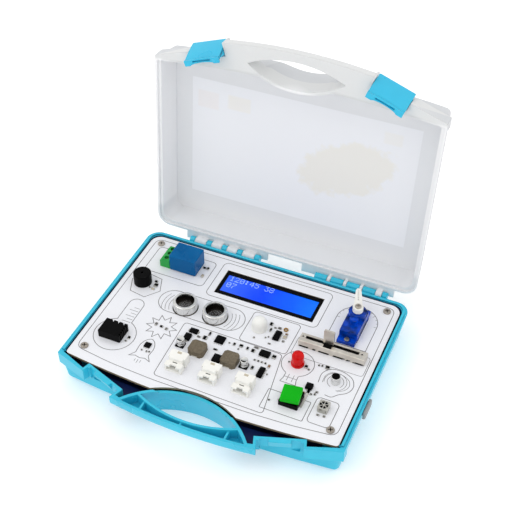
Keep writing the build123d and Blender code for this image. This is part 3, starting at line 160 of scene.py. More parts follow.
def joinRings(bm, rings, closed=False, slotIndex=0):
    # quads between each ring of corners and the next, and back to the first when closed
    count = len(rings[0])
    for i in range(len(rings) if closed else len(rings) - 1):
        near, far = rings[i], rings[(i + 1) % len(rings)]
        for k in range(count):
            m = (k + 1) % count
            bm.faces.new((near[k], near[m], far[m], far[k])).material_index = slotIndex


def slabForm(bm, profile, spot, start, end):
    # a closed profile of (out, depth) points carried along a straight run
    rings = [[bm.verts.new(spot(along, out, depth)) for out, depth in profile] for along in (start, end)]
    joinRings(bm, rings)
    for ring in rings:
        bm.faces.new(ring)


# shader helpers
def newFinish(name):
    material = bpy.data.materials.new(name)
    material.use_nodes = True
    tree = material.node_tree
    return material, tree, tree.nodes["Principled BSDF"]


def tint(colour):
    # display colour 0-255 to linear
    shares = [c / 255 for c in colour]
    return tuple(s / 12.92 if s <= 10 / 255 else ((s + 0.055) / 1.055) ** 2.4 for s in shares) + (1.0,)


def place(tree, stretch=(1, 1, 1)):
    where = tree.nodes.new("ShaderNodeTexCoord")
    mapping = tree.nodes.new("ShaderNodeMapping")
    mapping.inputs["Scale"].default_value = stretch
    tree.links.new(where.outputs["Object"], mapping.inputs["Vector"])
    return mapping.outputs["Vector"]


def axes(tree, vector=None):
    split = tree.nodes.new("ShaderNodeSeparateXYZ")
    tree.links.new(vector or place(tree), split.inputs["Vector"])
    return split.outputs["X"], split.outputs["Y"], split.outputs["Z"]


def fill(tree, socket, value):
    # a plain value is set on the socket itself, and a node's output is linked to it
    if isinstance(value, bpy.types.NodeSocket):
        tree.links.new(value, socket)
    else:
        socket.default_value = value


def setSockets(tree, shader, values):
    for name, value in values.items():
        fill(tree, shader.inputs[name], value)


def maths(tree, operation, *values, clamp=False):
    step = tree.nodes.new("ShaderNodeMath")
    step.operation = operation
    step.use_clamp = clamp
    for socket, value in zip(step.inputs, values):
        fill(tree, socket, value)
    return step.outputs[0]


def blend(tree, factor, under, over):
    mix = tree.nodes.new("ShaderNodeMix")
    mix.data_type = "RGBA"
    for socket, value in (("Factor", factor), (6, under), (7, over)):
        fill(tree, mix.inputs[socket], value)
    return mix.outputs[2]


def above(tree, value, level, soft):
    # 0 below the level and 1 above it, over a soft run
    return maths(tree, "MULTIPLY_ADD", value, 1 / soft, 0.5 - level / soft, clamp=True)


def within(tree, value, centre, half, soft):
    offset = maths(tree, "ABSOLUTE", maths(tree, "SUBTRACT", value, centre))
    return maths(tree, "MULTIPLY_ADD", offset, -1 / soft, half / soft + 0.5, clamp=True)


def both(tree, first, second):
    return maths(tree, "MULTIPLY", first, second)


def inBox(tree, x, y, centre, half, soft):
    acrossX, acrossY = (within(tree, value, centre[i], half[i], soft) for i, value in enumerate((x, y)))
    return both(tree, acrossX, acrossY)


def speckle(tree, scale, detail=3, rough=0.55, stretch=(1, 1, 1)):
    grain = tree.nodes.new("ShaderNodeTexNoise")
    setSockets(tree, grain, {"Vector": place(tree, stretch), "Scale": scale, "Detail": detail,
                             "Roughness": rough})
    return grain.outputs["Fac"]


def ramp(tree, source, *stops):
    steps = tree.nodes.new("ShaderNodeValToRGB")
    band = steps.color_ramp
    while len(band.elements) < len(stops):
        band.elements.new(0.5)
    for element, (at, colour) in zip(band.elements, stops):
        element.position = at
        element.color = tint(colour)
    tree.links.new(source, steps.inputs["Fac"])
    return steps.outputs["Color"]


def mottle(tree, source, look, full=0.7):
    # drifts between a finish's shade and its colour
    return ramp(tree, source, (0.3, look["shade"]), (full, look["colour"]))


def span(tree, source, middle, down, up):
    # roughness that drifts about its middle
    reach = tree.nodes.new("ShaderNodeMapRange")
    setSockets(tree, reach, {"Value": source, "From Min": 0.3, "From Max": 0.7,
                             "To Min": middle - down, "To Max": middle + up})
    return reach.outputs["Result"]


def surface(tree, shader, height, strength, depth, softEdge):
    # fine relief, its depth and the softened edge's radius in mm
    bump = tree.nodes.new("ShaderNodeBump")
    setSockets(tree, bump, {"Strength": strength, "Distance": depth * mm, "Height": height})
    if softEdge:
        edge = tree.nodes.new("ShaderNodeBevel")
        edge.samples = 6
        edge.inputs["Radius"].default_value = softEdge * mm
        tree.links.new(edge.outputs["Normal"], bump.inputs["Normal"])
    tree.links.new(bump.outputs["Normal"], shader.inputs["Normal"])


def mouldedFinish(name, look):
    material, tree, shader = newFinish(name)
    wide = speckle(tree, look.get("cloudScale", 40))
    fine = speckle(tree, look.get("grainScale", 1800), 2)
    surface(tree, shader, fine, look.get("bump", 0.12), 0.05, look["edge"])
    setSockets(tree, shader, {"Base Color": mottle(tree, wide, look),
                              "Roughness": span(tree, wide, look["rough"], 0.05, 0.06),
                              **look.get("sockets", {})})
    return material


def metalFinish(name, look):
    material, tree, shader = newFinish(name)
    streak = speckle(tree, look.get("streakScale", 600), 4, 0.6, look.get("stretch", (1, 1, 1)))
    surface(tree, shader, streak, look.get("bump", 0.15), 0.03, look.get("edge", 0.12))
    setSockets(tree, shader, {"Base Color": mottle(tree, speckle(tree, 120), look), "Metallic": 1.0,
                              "Roughness": span(tree, streak, look["rough"], 0.07, 0.09)})
    return material


# what light does inside the plastic, for the finishes that need it
cyanDepth = {"Subsurface Weight": 0.06, "Subsurface Radius": (0.004, 0.006, 0.008),
             "Subsurface Scale": 0.5}
whiteDepth = {"Subsurface Weight": 0.12, "Subsurface Radius": (0.002, 0.002, 0.002)}
domeDepth = {"Subsurface Weight": 0.4, "Subsurface Radius": (0.003, 0.003, 0.003)}


def shine(level):
    return {"Specular IOR Level": level}


plasticLooks = {
    "caseCyan": {"colour": (44, 192, 220), "shade": (32, 182, 212), "rough": 0.3, "edge": 0.45,
                 "sockets": cyanDepth},
    "latchCyan": {"colour": (42, 190, 226), "shade": (32, 180, 218), "rough": 0.3, "edge": 0.3,
                  "sockets": cyanDepth},
    # painted shade: a deeper teal on the rim step's upright faces
    "rimStepPaintedShade": {"colour": (30, 140, 172), "shade": (20, 124, 156), "rough": 0.4, "edge": 0.15},
    # painted shade: the dark navy of the case's shadowed inside, under the panel and in the front hollows
    "navyPaintedShade": {"colour": (16, 40, 96), "shade": (9, 26, 72), "rough": 0.5, "edge": 0.2,
                  "sockets": shine(0.2)},
    "blackMoulding": {"colour": (6, 6, 7), "shade": (2, 2, 3), "rough": 0.42, "edge": 0.06,
                      "sockets": shine(0.05)},
    "chipBlack": {"colour": (8, 8, 9), "shade": (3, 3, 4), "rough": 0.5, "edge": 0.06, "grainScale": 5200,
                  "bump": 0.35, "sockets": shine(0.05)},
    "chipMark": {"colour": (74, 74, 76), "shade": (58, 58, 60), "rough": 0.5, "edge": 0.0},
    "whiteMoulding": {"colour": (244, 243, 238), "shade": (234, 233, 227), "rough": 0.36, "edge": 0.2,
                      "sockets": whiteDepth},
    "relayBlue": {"colour": (1, 100, 158), "shade": (0, 84, 142), "rough": 0.3, "edge": 0.3,
                  "sockets": shine(0.1)},
    "terminalGreen": {"colour": (10, 172, 66), "shade": (6, 150, 56), "rough": 0.38, "edge": 0.2},
    "buttonGreen": {"colour": (2, 178, 14), "shade": (1, 164, 9), "rough": 0.34, "edge": 0.3,
                    "sockets": shine(0.12)},
    "ferriteGrey": {"colour": (118, 107, 88), "shade": (92, 83, 68), "rough": 0.6, "edge": 0.2,
                    "grainScale": 5200, "cloudScale": 900, "bump": 0.5, "sockets": shine(0.3)},
    "boardGreen": {"colour": (18, 92, 58), "shade": (12, 78, 48), "rough": 0.4, "edge": 0.1},
    "rubberGrey": {"colour": (146, 150, 152), "shade": (128, 132, 134), "rough": 0.6, "edge": 0.4,
                   "grainScale": 3000, "bump": 0.25},
    "feltBlack": {"colour": (10, 10, 10), "shade": (3, 3, 3), "rough": 0.95, "edge": 0.1,
                  "grainScale": 6000, "bump": 0.9, "sockets": shine(0.05)},
    "nylonWhite": {"colour": (240, 240, 235), "shade": (228, 228, 222), "rough": 0.45, "edge": 0.1},
    "domeWhite": {"colour": (244, 244, 240), "shade": (232, 232, 228), "rough": 0.34, "edge": 0.2,
                  "sockets": domeDepth},
    "partBrown": {"colour": (150, 116, 84), "shade": (120, 90, 64), "rough": 0.5, "edge": 0.08},
    "partGrey": {"colour": (104, 102, 98), "shade": (78, 76, 74), "rough": 0.5, "edge": 0.08},
    "partBeige": {"colour": (196, 186, 164), "shade": (176, 166, 146), "rough": 0.5, "edge": 0.08},
    "padWhite": {"colour": (214, 212, 204), "shade": (196, 194, 186), "rough": 0.5, "edge": 0.05},
    "lineInk": {"colour": (104, 101, 101), "shade": (86, 83, 83), "rough": 0.6, "edge": 0.0,
                "cloudScale": 700},
    # dark for painted shade in slots, recesses and openings, and for the capacitors' printed marks
    "darkShadeAndPrint": {"colour": (34, 32, 30), "shade": (20, 19, 18), "rough": 0.6, "edge": 0.0,
                 "sockets": shine(0.05)},
}
metalLooks = {
    "platedSteel": {"colour": (206, 204, 196), "shade": (176, 174, 166), "rough": 0.3},
    "canSilver": {"colour": (232, 232, 230), "shade": (208, 208, 206), "rough": 0.2, "streakScale": 900},
    "sliderNickel": {"colour": (222, 216, 206), "shade": (200, 193, 182), "rough": 0.36,
                     "stretch": (0.15, 1, 1), "streakScale": 1600},
    "screwNickel": {"colour": (182, 174, 164), "shade": (142, 134, 124), "rough": 0.32, "edge": 0.15},
    "pinTin": {"colour": (206, 204, 198), "shade": (170, 168, 162), "rough": 0.38},
    "coilCopper": {"colour": (196, 120, 74), "shade": (172, 98, 58), "rough": 0.34},
    "coilGold": {"colour": (196, 156, 84), "shade": (150, 112, 52), "rough": 0.34, "streakScale": 2600,
                 "bump": 0.6},
    "wireDark": {"colour": (46, 40, 36), "shade": (18, 15, 13), "rough": 0.5},
}
finish = {name: mouldedFinish(name, look) for name, look in plasticLooks.items()}
finish.update({name: metalFinish(name, look) for name, look in metalLooks.items()})

# the frosted lid and its label; places are those of the shut lid, in mm. The inside tints for plate,
# plate edge, walls, rear wall and grip are painted light and shade, set region by region
lidLook = {
    "hinge": (69.0, 19.0), "opened": 96.4, "plateLevel": 41.3,
    "plate": (233, 234, 237), "plateEdge": (240, 241, 243), "wall": (250, 250, 251),
    "rearWall": (238, 239, 241), "grip": (230, 231, 231), "cloudTint": (238, 239, 240),
    "outside": {"colour": (224, 226, 228), "shade": (215, 217, 220)},
    "plateHalf": (80, 48), "plateSoft": 14, "rearFrom": (50, 3), "gripTo": (-60.5, 1.5), "line": 0.5,
    "cloudShare": 0.08,
    "rough": 0.5, "through": 0.12, "ior": 1.3, "shine": 0.3, "cloudScale": 30, "grainScale": 2400,
    "bump": 0.2, "depth": 0.06, "edge": 0.4,
    "sideLine": 80, "rearLine": 56, "frontLine": -50, "frontRise": 9.5, "topRise": 8.5,
    "facing": 0.2, "facingUp": 0.3, "plateUp": 0.5,
}
labelLook = {
    # the outer colour is a darker, painted-shade copy of the label's white
    "half": (77.5, 43.3), "inner": (247, 248, 252), "outer": (218, 222, 230), "outerStrength": 0.4,
    "boxes": [(-66, -29, 7.5, 6, (246, 243, 244)), (-44, -31, 8, 5, (246, 244, 241)),
              (60, -33, 6, 4, (246, 245, 244))],
    "boxSoft": 1.4, "boxBroken": (0.5, 0.6), "cloud": (32, -3, 33, 25, (244, 242, 237)),
    "cloudLean": 0.45, "cloudRagged": (1.1, 0.3), "cloudSharp": 4.0, "cloudScale": 160,
    "rough": 0.5, "grainScale": 900, "bump": 0.1, "depth": 0.03,
}


def closedPlace(tree):
    # positions turned back to where they are when the lid is shut, in mm
    x, y, z = (maths(tree, "MULTIPLY", value, 1 / mm) for value in axes(tree))
    hingeY, hingeZ = lidLook["hinge"]
    turn = radians(lidLook["opened"])
    outY, outZ = maths(tree, "SUBTRACT", y, hingeY), maths(tree, "SUBTRACT", z, hingeZ)

    def turned(shareY, shareZ, start):
        return maths(tree, "MULTIPLY_ADD", outY, shareY, maths(tree, "MULTIPLY_ADD", outZ, shareZ, start))

    return x, turned(cos(turn), -sin(turn), hingeY), turned(sin(turn), cos(turn), hingeZ)


def labelColour(tree, x, y, under, strength=1.0):
    # pale generic shapes that show on both sides of the label
    look = labelLook
    colour = under
    cloud = speckle(tree, look["cloudScale"])
    broken = maths(tree, "MULTIPLY_ADD", cloud, *look["boxBroken"], clamp=True)
    for cx, cy, halfX, halfY, shade in look["boxes"]:
        mask = both(tree, inBox(tree, x, y, (cx, cy), (halfX, halfY), look["boxSoft"]), broken)
        colour = blend(tree, maths(tree, "MULTIPLY", mask, strength), colour, tint(shade))
    cx, cy, halfX, halfY, shade = look["cloud"]
    acrossX = maths(tree, "MULTIPLY", maths(tree, "SUBTRACT", x, cx), 1 / halfX)
    acrossY = maths(tree, "MULTIPLY", maths(tree, "SUBTRACT", y, cy), 1 / halfY)
    leaning = maths(tree, "MULTIPLY_ADD", acrossY, look["cloudLean"], acrossX)
    reach = maths(tree, "ADD", both(tree, leaning, leaning), both(tree, acrossY, acrossY))
    edge = maths(tree, "MULTIPLY_ADD", cloud, *look["cloudRagged"])
    mask = maths(tree, "MULTIPLY", maths(tree, "SUBTRACT", edge, reach), look["cloudSharp"], clamp=True)
    return blend(tree, maths(tree, "MULTIPLY", mask, strength), colour, tint(shade))


def lidInsidePaintedLight(tree, wide):
    # painted light and shade: the plate lighter towards its edges, the walls brightest, the rear wall and
    # the grip darker
    look = lidLook
    x, y, z = closedPlace(tree)
    inner = inBox(tree, x, y, (0, 0), look["plateHalf"], look["plateSoft"])
    plate = blend(tree, inner, tint(look["plateEdge"]), tint(look["plate"]))
    onLabel = inBox(tree, x, y, (0, 0), labelLook["half"], look["line"])
    plate = blend(tree, onLabel, plate, labelColour(tree, x, y, tint(labelLook["inner"])))
    walls = blend(tree, above(tree, y, *look["rearFrom"]), tint(look["wall"]), tint(look["rearWall"]))
    walls = blend(tree, above(tree, y, *look["gripTo"]), tint(look["grip"]), walls)
    colour = blend(tree, above(tree, z, look["plateLevel"], look["line"]), walls, plate)
    return blend(tree, maths(tree, "MULTIPLY", wide, look["cloudShare"]), colour, tint(look["cloudTint"]))


def lidOutsideColour(tree, wide):
    return mottle(tree, wide, lidLook["outside"])


def frostedFinish(name, colourOf):
    look = lidLook
    material, tree, shader = newFinish(name)
    wide, fine = speckle(tree, look["cloudScale"], 4), speckle(tree, look["grainScale"], 2)
    surface(tree, shader, fine, look["bump"], look["depth"], look["edge"])
    setSockets(tree, shader, {"Base Color": colourOf(tree, wide),
                              "Roughness": span(tree, wide, look["rough"], 0.04, 0.05),
                              "Transmission Weight": look["through"], "IOR": look["ior"],
                              **shine(look["shine"])})
    return material


def labelFinish():
    look = labelLook
    material, tree, shader = newFinish("labelPale")
    x, y = closedPlace(tree)[:2]
    grain = speckle(tree, look["grainScale"])
    surface(tree, shader, grain, look["bump"], look["depth"], 0.0)
    # the label's outer face takes the darker, painted-shade copy of its white
    printed = labelColour(tree, x, y, tint(look["outer"]), look["outerStrength"])
    setSockets(tree, shader, {"Base Color": printed,
                              "Roughness": span(tree, grain, look["rough"], 0.05, 0.1)})
    return material


finish["lidFrosted"] = frostedFinish("lidFrosted", lidInsidePaintedLight)
finish["lidOutside"] = frostedFinish("lidFrostedOutside", lidOutsideColour)
finish["labelPale"] = labelFinish()

# clear tinted plastic: the deep share darkens its drifts
clearGrain = {"cloudScale": 160, "cloudFull": 0.62, "grainScale": 900, "bump": 0.08, "depth": 0.05,
              "edge": 0.25, "ior": 1.5}
clearLooks = {
    "servoBlue": {"colour": (0, 76, 212), "rough": 0.14, "through": 0.12, "deep": 0.34, "shine": 0.16},
    "ledRed": {"colour": (220, 1, 1), "rough": 0.09, "through": 0.02, "deep": 0.8, "shine": 0.2},
}


def clearFinish(name, look):
    material, tree, shader = newFinish(name)
    grain = clearGrain
    wide, fine = speckle(tree, grain["cloudScale"]), speckle(tree, grain["grainScale"])
    surface(tree, shader, fine, grain["bump"], grain["depth"], grain["edge"])
    shades = {"colour": look["colour"], "shade": [c * look["deep"] for c in look["colour"]]}
    setSockets(tree, shader, {"Base Color": mottle(tree, wide, shades, grain["cloudFull"]),
                              "Roughness": span(tree, fine, look["rough"], 0.03, 0.05),
                              "Transmission Weight": look["through"], "IOR": grain["ior"],
                              **shine(look["shine"])})
    return material


finish.update({name: clearFinish(name, look) for name, look in clearLooks.items()})

panelLook = {"face": {"colour": (238, 239, 243), "shade": (230, 231, 236)},
             "cut": {"colour": (150, 138, 112), "shade": (132, 120, 96)}, "rough": 0.34,
             "grainScale": 1400, "bump": 0.08, "depth": 0.04}


def panelFinish():
    # white solder mask on the flat faces, bare board at the cut edges
    look = panelLook
    material, tree, shader = newFinish("panelWhite")
    grain = speckle(tree, look["grainScale"], 5, 0.7)
    normal = tree.nodes.new("ShaderNodeNewGeometry").outputs["True Normal"]
    flat = maths(tree, "GREATER_THAN", maths(tree, "ABSOLUTE", axes(tree, normal)[2]), 0.5)
    cut, face = mottle(tree, grain, look["cut"]), mottle(tree, grain, look["face"])
    surface(tree, shader, grain, look["bump"], look["depth"], 0.0)
    setSockets(tree, shader, {"Base Color": blend(tree, flat, cut, face),
                              "Roughness": span(tree, grain, look["rough"], 0.06, 0.08)})
    return material


finish["panelWhite"] = panelFinish()

# the inside colour is painted shade for the cans' hollows
canLook = {"places": [(-39.0, 4.6), (-17.9, 4.9)], "insideRadius": 7.55, "lipDepth": 0.9,
           "colour": (232, 232, 230), "shade": (204, 204, 202), "inside": (12, 12, 12), "rough": 0.18,
           "streakScale": 900, "stretch": (1, 1, 0.1), "bump": 0.12, "depth": 0.03, "edge": 0.15}


def sonarCanPaintedShadeFinish():
    # bright drawn metal outside; painted shade inside below the lip, dark and not metallic
    look = canLook
    material, tree, shader = newFinish("sonarCanPaintedShade")
    x, y, z = axes(tree)
    reaches = []
    for cx, cy in look["places"]:
        outX, outY = maths(tree, "SUBTRACT", x, cx * mm), maths(tree, "SUBTRACT", y, cy * mm)
        square = maths(tree, "ADD", both(tree, outX, outX), both(tree, outY, outY))
        reaches.append(maths(tree, "SQRT", square))
    near = maths(tree, "LESS_THAN", maths(tree, "MINIMUM", *reaches), look["insideRadius"] * mm)
    below = maths(tree, "LESS_THAN", z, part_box("sonar_cans")[1].z - look["lipDepth"] * mm)
    # painted shade mask: inside the cans, below their lip
    inside = both(tree, near, below)
    streak = speckle(tree, look["streakScale"], 4, 0.6, look["stretch"])
    surface(tree, shader, streak, look["bump"], look["depth"], look["edge"])
    silver = mottle(tree, streak, look)
    setSockets(tree, shader, {"Base Color": blend(tree, inside, silver, tint(look["inside"])),
                              "Metallic": maths(tree, "SUBTRACT", 1.0, inside),
                              "Roughness": span(tree, streak, look["rough"], 0.05, 0.1)})
    return material


finish["sonarCanPaintedShade"] = sonarCanPaintedShadeFinish()

displayLook = {"left": (62, 110, 244), "middle": (6, 72, 246), "right": (8, 122, 255),
               "dark": (2, 16, 110), "darkDrift": (8, 30, 140), "strength": 0.86, "drift": 0.24,
               "cloudScale": 60, "rough": 0.12, "shine": 0.12,
               "glow": {"colour": (186, 212, 255), "shade": (160, 196, 255)},
               "glowUnder": {"colour": (70, 110, 210), "shade": (30, 66, 170)}, "glowStrength": 0.7,
               "glowRough": 0.4, "glowGrain": 900}


def displayFinish():
    # backlit blue glass, paler at the left and brighter to the right
    look = displayLook
    material, tree, shader = newFinish("displayBlue")
    low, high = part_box("lcd_glass")
    fromLeft = maths(tree, "SUBTRACT", axes(tree)[0], low.x)
    acrossX = maths(tree, "MULTIPLY", fromLeft, 1 / (high.x - low.x))
    cloud = speckle(tree, look["cloudScale"], 2)
    along = maths(tree, "SUBTRACT", acrossX, look["drift"] / 2)
    along = maths(tree, "MULTIPLY_ADD", cloud, look["drift"], along)
    lit = ramp(tree, along, (0.05, look["left"]), (0.45, look["middle"]), (0.95, look["right"]))
    unlit = blend(tree, cloud, tint(look["dark"]), tint(look["darkDrift"]))
    setSockets(tree, shader, {"Base Color": unlit, "Emission Color": lit,
                              "Emission Strength": look["strength"],
                              "Roughness": span(tree, cloud, look["rough"], 0.04, 0.04),
                              **shine(look["shine"])})
    return material


def glowFinish():
    look = displayLook
    material, tree, shader = newFinish("displayGlow")
    grain = speckle(tree, look["glowGrain"], 2)
    setSockets(tree, shader, {"Base Color": mottle(tree, grain, look["glowUnder"]),
                              "Emission Color": mottle(tree, grain, look["glow"]),
                              "Emission Strength": look["glowStrength"], "Roughness": look["glowRough"]})
    return material


finish["displayBlue"] = displayFinish()
finish["displayGlow"] = glowFinish()
print("finishes ready:", len(finish))

# the nodes that show as they are, by finish
nodeFinish = {
    "panelWhite": "panel_board", "labelPale": "lid_label", "displayBlue": "lcd_glass",
    "sonarCanPaintedShade": "sonar_cans", "ledRed": "led_lens", "domeWhite": "motion_lens",
    "relayBlue": "relay_case", "terminalGreen": "terminal_block", "buttonGreen": "button_cap",
    "rubberGrey": "usb_dust_cap", "feltBlack": "microphone_felt",
    "blackMoulding": "lcd_bezel board_supports pot_track pot_carriage switch_base button_plunger "
                     "relay_base buzzer_body climate_case infrared_receiver capacitor_bases",
    "whiteMoulding": "lcd_backlight servo_horn cable_connectors",
    "servoBlue": "servo_case_bottom servo_case_middle servo_case_top",
    "nylonWhite": "servo_pinion servo_idler_gear servo_output_gear",
    "boardGreen": "lcd_board sonar_board climate_board",
    "platedSteel": "usb_socket servo_motor infrared_shield",
    "screwNickel": "panel_screws horn_screw servo_fixings terminal_screws",
    "sliderNickel": "pot_frame pot_lever", "canSilver": "sonar_cones motion_sensor microphone_can",
    "pinTin": "led_frame connector_pins", "coilCopper": "relay_works buzzer_disc",
}


def dressNode(nodeName, finishName):
    materials = nodes[nodeName].data.materials
    materials.clear()
    materials.append(finish[finishName])


for finishName, nodeNames in nodeFinish.items():
    for nodeName in nodeNames.split():
        dressNode(nodeName, finishName)
print("nodes dressed:", sum(len(nodeNames.split()) for nodeNames in nodeFinish.values()))

# the case base: painted shade on it, a deeper teal on the rim step's upright faces and a dark navy on the
# faces inside the case and in the hollows at the front
baseLook = {
    "rim": 22.0, "angle": 19.0, "origin": (60.0, -75.0), "archCentre": -110.85, "archRadius": 52.7,
    "insideHalf": 91.2, "insideFront": -57.2, "insideRear": 61.3,
    "hollowHalf": 15.4, "hollowFront": (-3.1, -2.3), "hollowBack": -8.3,
    "hollowSide": [(91.3, -57.0), (91.3, -60.3)], "hollowArch": [(36.0, -80.1), (19.8, -57.0)],
    "probe": 0.3, "slack": 0.1, "wallTilt": 0.3, "rimDrop": 0.2, "insideDrop": 0.6, "floorTop": 0.5,
    "archBand": 5, "archFacing": 0.3, "frontLine": -50, "archHalf": 36, "sideLine": 80, "facing": 0.2,
}


def latchSpot(along, out, side=1):
    turn = radians(baseLook["angle"])
    x = baseLook["origin"][0] + along * cos(turn) + out * sin(turn)
    y = baseLook["origin"][1] + along * sin(turn) - out * cos(turn)
    return side * x, y


def insidePath(x, y, path):
    inside = False
    for i, (x0, y0) in enumerate(path):
        x1, y1 = path[i - 1]
        if (y0 > y) != (y1 > y) and x < (x1 - x0) * (y - y0) / (y1 - y0) + x0:
            inside = not inside
    return inside


def hollowPath():
    # outline of the hollow behind the right latch's place; the left one mirrors it
    look = baseLook
    half, back = look["hollowHalf"], look["hollowBack"]
    outer, inner = look["hollowFront"]
    pocket = [latchSpot(*spot) for spot in ((half, outer), (half, back), (-half, back), (-half, inner))]
    return look["hollowSide"] + pocket + look["hollowArch"]


def baseFaceKind(centre, normal):
    # 0 the outside, 1 the rim step in painted shade, 2 the inside in dark navy painted shade
    look = baseLook
    rim, slack = look["rim"], look["slack"]
    x, y, z = (value / mm for value in centre)
    spotX, spotY = abs(x + normal.x * look["probe"]), y + normal.y * look["probe"]
    # upright faces above the rim take the rim step's painted shade
    if abs(normal.z) < look["wallTilt"] and z > rim + slack:
        return 1
    fromArch = Vector((x, y - look["archCentre"], 0))
    facesArch = (fromArch.length < look["archRadius"] + look["archBand"]
                 and fromArch.normalized().dot(normal) < -look["archFacing"])
    facesFront = y < look["frontLine"] and abs(x) > look["archHalf"] and normal.y < -look["facing"]
    facesSide = abs(x) > look["sideLine"] and normal.x * x > look["facing"] * abs(x)
    if facesArch or facesFront or facesSide:
        return 0
    if sqrt(spotX ** 2 + (spotY - look["archCentre"]) ** 2) <= look["archRadius"] - slack:
        return 0
    if z < rim - look["rimDrop"] and insidePath(spotX, spotY, hollowPath()):
        return 2
    inCase = spotX < look["insideHalf"] and look["insideFront"] < spotY < look["insideRear"]
    return 2 if inCase and look["floorTop"] < z < rim - look["insideDrop"] else 0


def caseBase():
    mesh = facedCopy("caseBase", "base_shell", baseFaceKind)
    piece = addObject("caseBase", mesh, "base", "case_cyan", "caseCyan", "rimStepPaintedShade", "navyPaintedShade")
    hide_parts("base_shell")


# the lid: its outer faces keep a darker frosted colour, its inner faces carry painted light and shade
def lidFaceKind(centre, normal):
    # 0 the inside, 1 the outer faces, by where they are when the lid is shut
    look = lidLook
    turn = Matrix.Rotation(radians(look["opened"]), 3, "X")
    hinge = Vector((0, *look["hinge"]))
    x, y, z = turn @ (centre / mm - hinge) + hinge
    shut = turn @ normal
    facing, rise = look["facing"], z - baseLook["rim"]
    plateOut = z > look["plateLevel"] and shut.z > look["plateUp"]
    sideOut = abs(x) > look["sideLine"] and shut.x * x > facing * abs(x)
    rearOut = y > look["rearLine"] and shut.y > facing
    frontOut = y < look["frontLine"] and shut.y < -facing and rise > look["frontRise"]
    topOut = rise > look["topRise"] and shut.z > look["facingUp"]
    return int(plateOut or sideOut or rearOut or frontOut or topOut)


def caseLid():
    mesh = facedCopy("caseLid", "lid_shell", lidFaceKind)
    piece = addObject("caseLid", mesh, "lid", "lid_clear", "lidFrosted", "lidOutside")
    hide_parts("lid_shell")


caseBase()
caseLid()

# the two latches: a curved plate on a barrel, with a slotted end that arches up between two feet
latchLook = {
    "half": 12.1, "top": 8.0, "bottom": -8.6, "proud": 0.95, "tilt": 20.3, "thick": 1.8, "bulge": 0.5,
    "bulgeFade": 0.4, "cornerCut": 0.7, "backDrop": 0.2,
    "edgeColumn": 0.5, "footColumns": [7.4, 8.4, 9.5], "slotColumns": 6,
    "rowLevels": [-6.6, -5, -3, -1, 1, 3, 5, 6.8, 7.6],
    "barrel": 1.75, "barrelHalf": 12.3, "pin": 1.0, "pinHalf": 15.1, "pivot": (-3.4, 5.2),
    "web": [(0, -1.3), (0, 1.3), (2.6, 1.2), (2.0, -1.3)],
    "cheekThick": 1.2, "cheekLevels": [7.6, 0, -5.8], "cheekUnder": 0.5, "cheekFoot": 2.0,
    "cheekBack": [(-6.0, 5.8), (-6.2, -2.2)],
}
latchEnd = {
    "arch": 1.3, "archFlat": 0.6, "archLift": 0.35, "footStart": 8.4, "footReach": 3.6, "crest": 0.8,
    "deep": 1.4, "deepInner": 1.2, "slot": (0.6, 1.6), "slotHalf": 6.4, "footRound": 0.35,
    "join": {"deep": 0.6, "out": 0.06, "rise": 0.9, "sheet": 0.3},
    "stripOut": (1.2, 2.5), "stripDeep": (1.5, 2.4), "stripPast": 0.8,
}
lidEarLook = {"run": (12.4, 13.7), "depth": (0.05, 8.9), "back": -7.5, "outer": -1.5, "inner": 1.1,
              "cut": 0.5}


def openSpot(x, y, z):
    # from the shut lid's place to the open one
    turn = radians(-lidLook["opened"])
    hingeY, hingeZ = lidLook["hinge"]
    outY, outZ = y - hingeY, z - hingeZ
    return Vector((x, hingeY + outY * cos(turn) - outZ * sin(turn),
                   hingeZ + outY * sin(turn) + outZ * cos(turn)))


def latchPlace(side):
    def spot(along, out, depth):
        x, y = latchSpot(along, out, side)
        return openSpot(x, y, baseLook["rim"] + depth)
    return spot


def plateOut(along, depth):
    # how far out the plate's face stands: it leans, and swells at its middle
    look = latchLook
    down = look["top"] - depth
    run = down / (look["top"] - look["bottom"])
    swell = look["bulge"] * (1 - (2 * run - 1) ** 2)
    swell *= 1 - look["bulgeFade"] * (along / look["half"]) ** 2
    return look["proud"] - down * tan(radians(look["tilt"])) + swell


def archRise(along):
    near = max(0.0, 1 - (abs(along) / latchEnd["footStart"]) ** 2)
    return latchEnd["arch"] * near ** latchEnd["archFlat"]


def sheetInto(bm, front, back, columns, rows, present):
    # a pierced sheet between two grids of corners
    for i in range(columns):
        for j in range(rows):
            if not present(i, j):
                continue
            bm.faces.new((front[i, j], front[i + 1, j], front[i + 1, j + 1], front[i, j + 1]))
            bm.faces.new((back[i, j], back[i, j + 1], back[i + 1, j + 1], back[i + 1, j]))
            corners = [(i, j), (i, j + 1), (i + 1, j + 1), (i + 1, j)]
            for near, a, b in (((i - 1, j), *corners[0:2]), ((i + 1, j), *corners[2:4]),
                               ((i, j - 1), corners[3], corners[0]), ((i, j + 1), *corners[1:3])):
                inside = 0 <= near[0] < columns and 0 <= near[1] < rows
                if not (inside and present(*near)):
                    bm.faces.new((front[a], front[b], back[b], back[a]))


def latchColumns():
    count = latchLook["slotColumns"]
    middle = [latchEnd["slotHalf"] * (i / count - 1) for i in range(2 * count + 1)]
    half = latchLook["half"]
    sides = latchLook["footColumns"] + [half - latchLook["edgeColumn"], half]
    return sorted(round(value, 4) for value in middle + sides + [-side for side in sides])


def latchPlateInto(bm, spot):
    look = latchLook
    columns = latchColumns()
    rows = [look["bottom"] + latchEnd["deep"], *look["rowLevels"], look["top"]]
    sheet = look["thick"] * cos(radians(look["tilt"]))
    front, back = {}, {}
    for i, along in enumerate(columns):
        atEdge = i in (0, len(columns) - 1)
        for j, level in enumerate(rows):
            depth = level - look["cornerCut"] if atEdge and level == look["top"] else level
            out = plateOut(along, depth)
            front[i, j] = bm.verts.new(spot(along, out, depth))
            back[i, j] = bm.verts.new(spot(along, out - sheet, depth + look["backDrop"]))
    sheetInto(bm, front, back, len(columns) - 1, len(rows) - 1, lambda i, j: True)


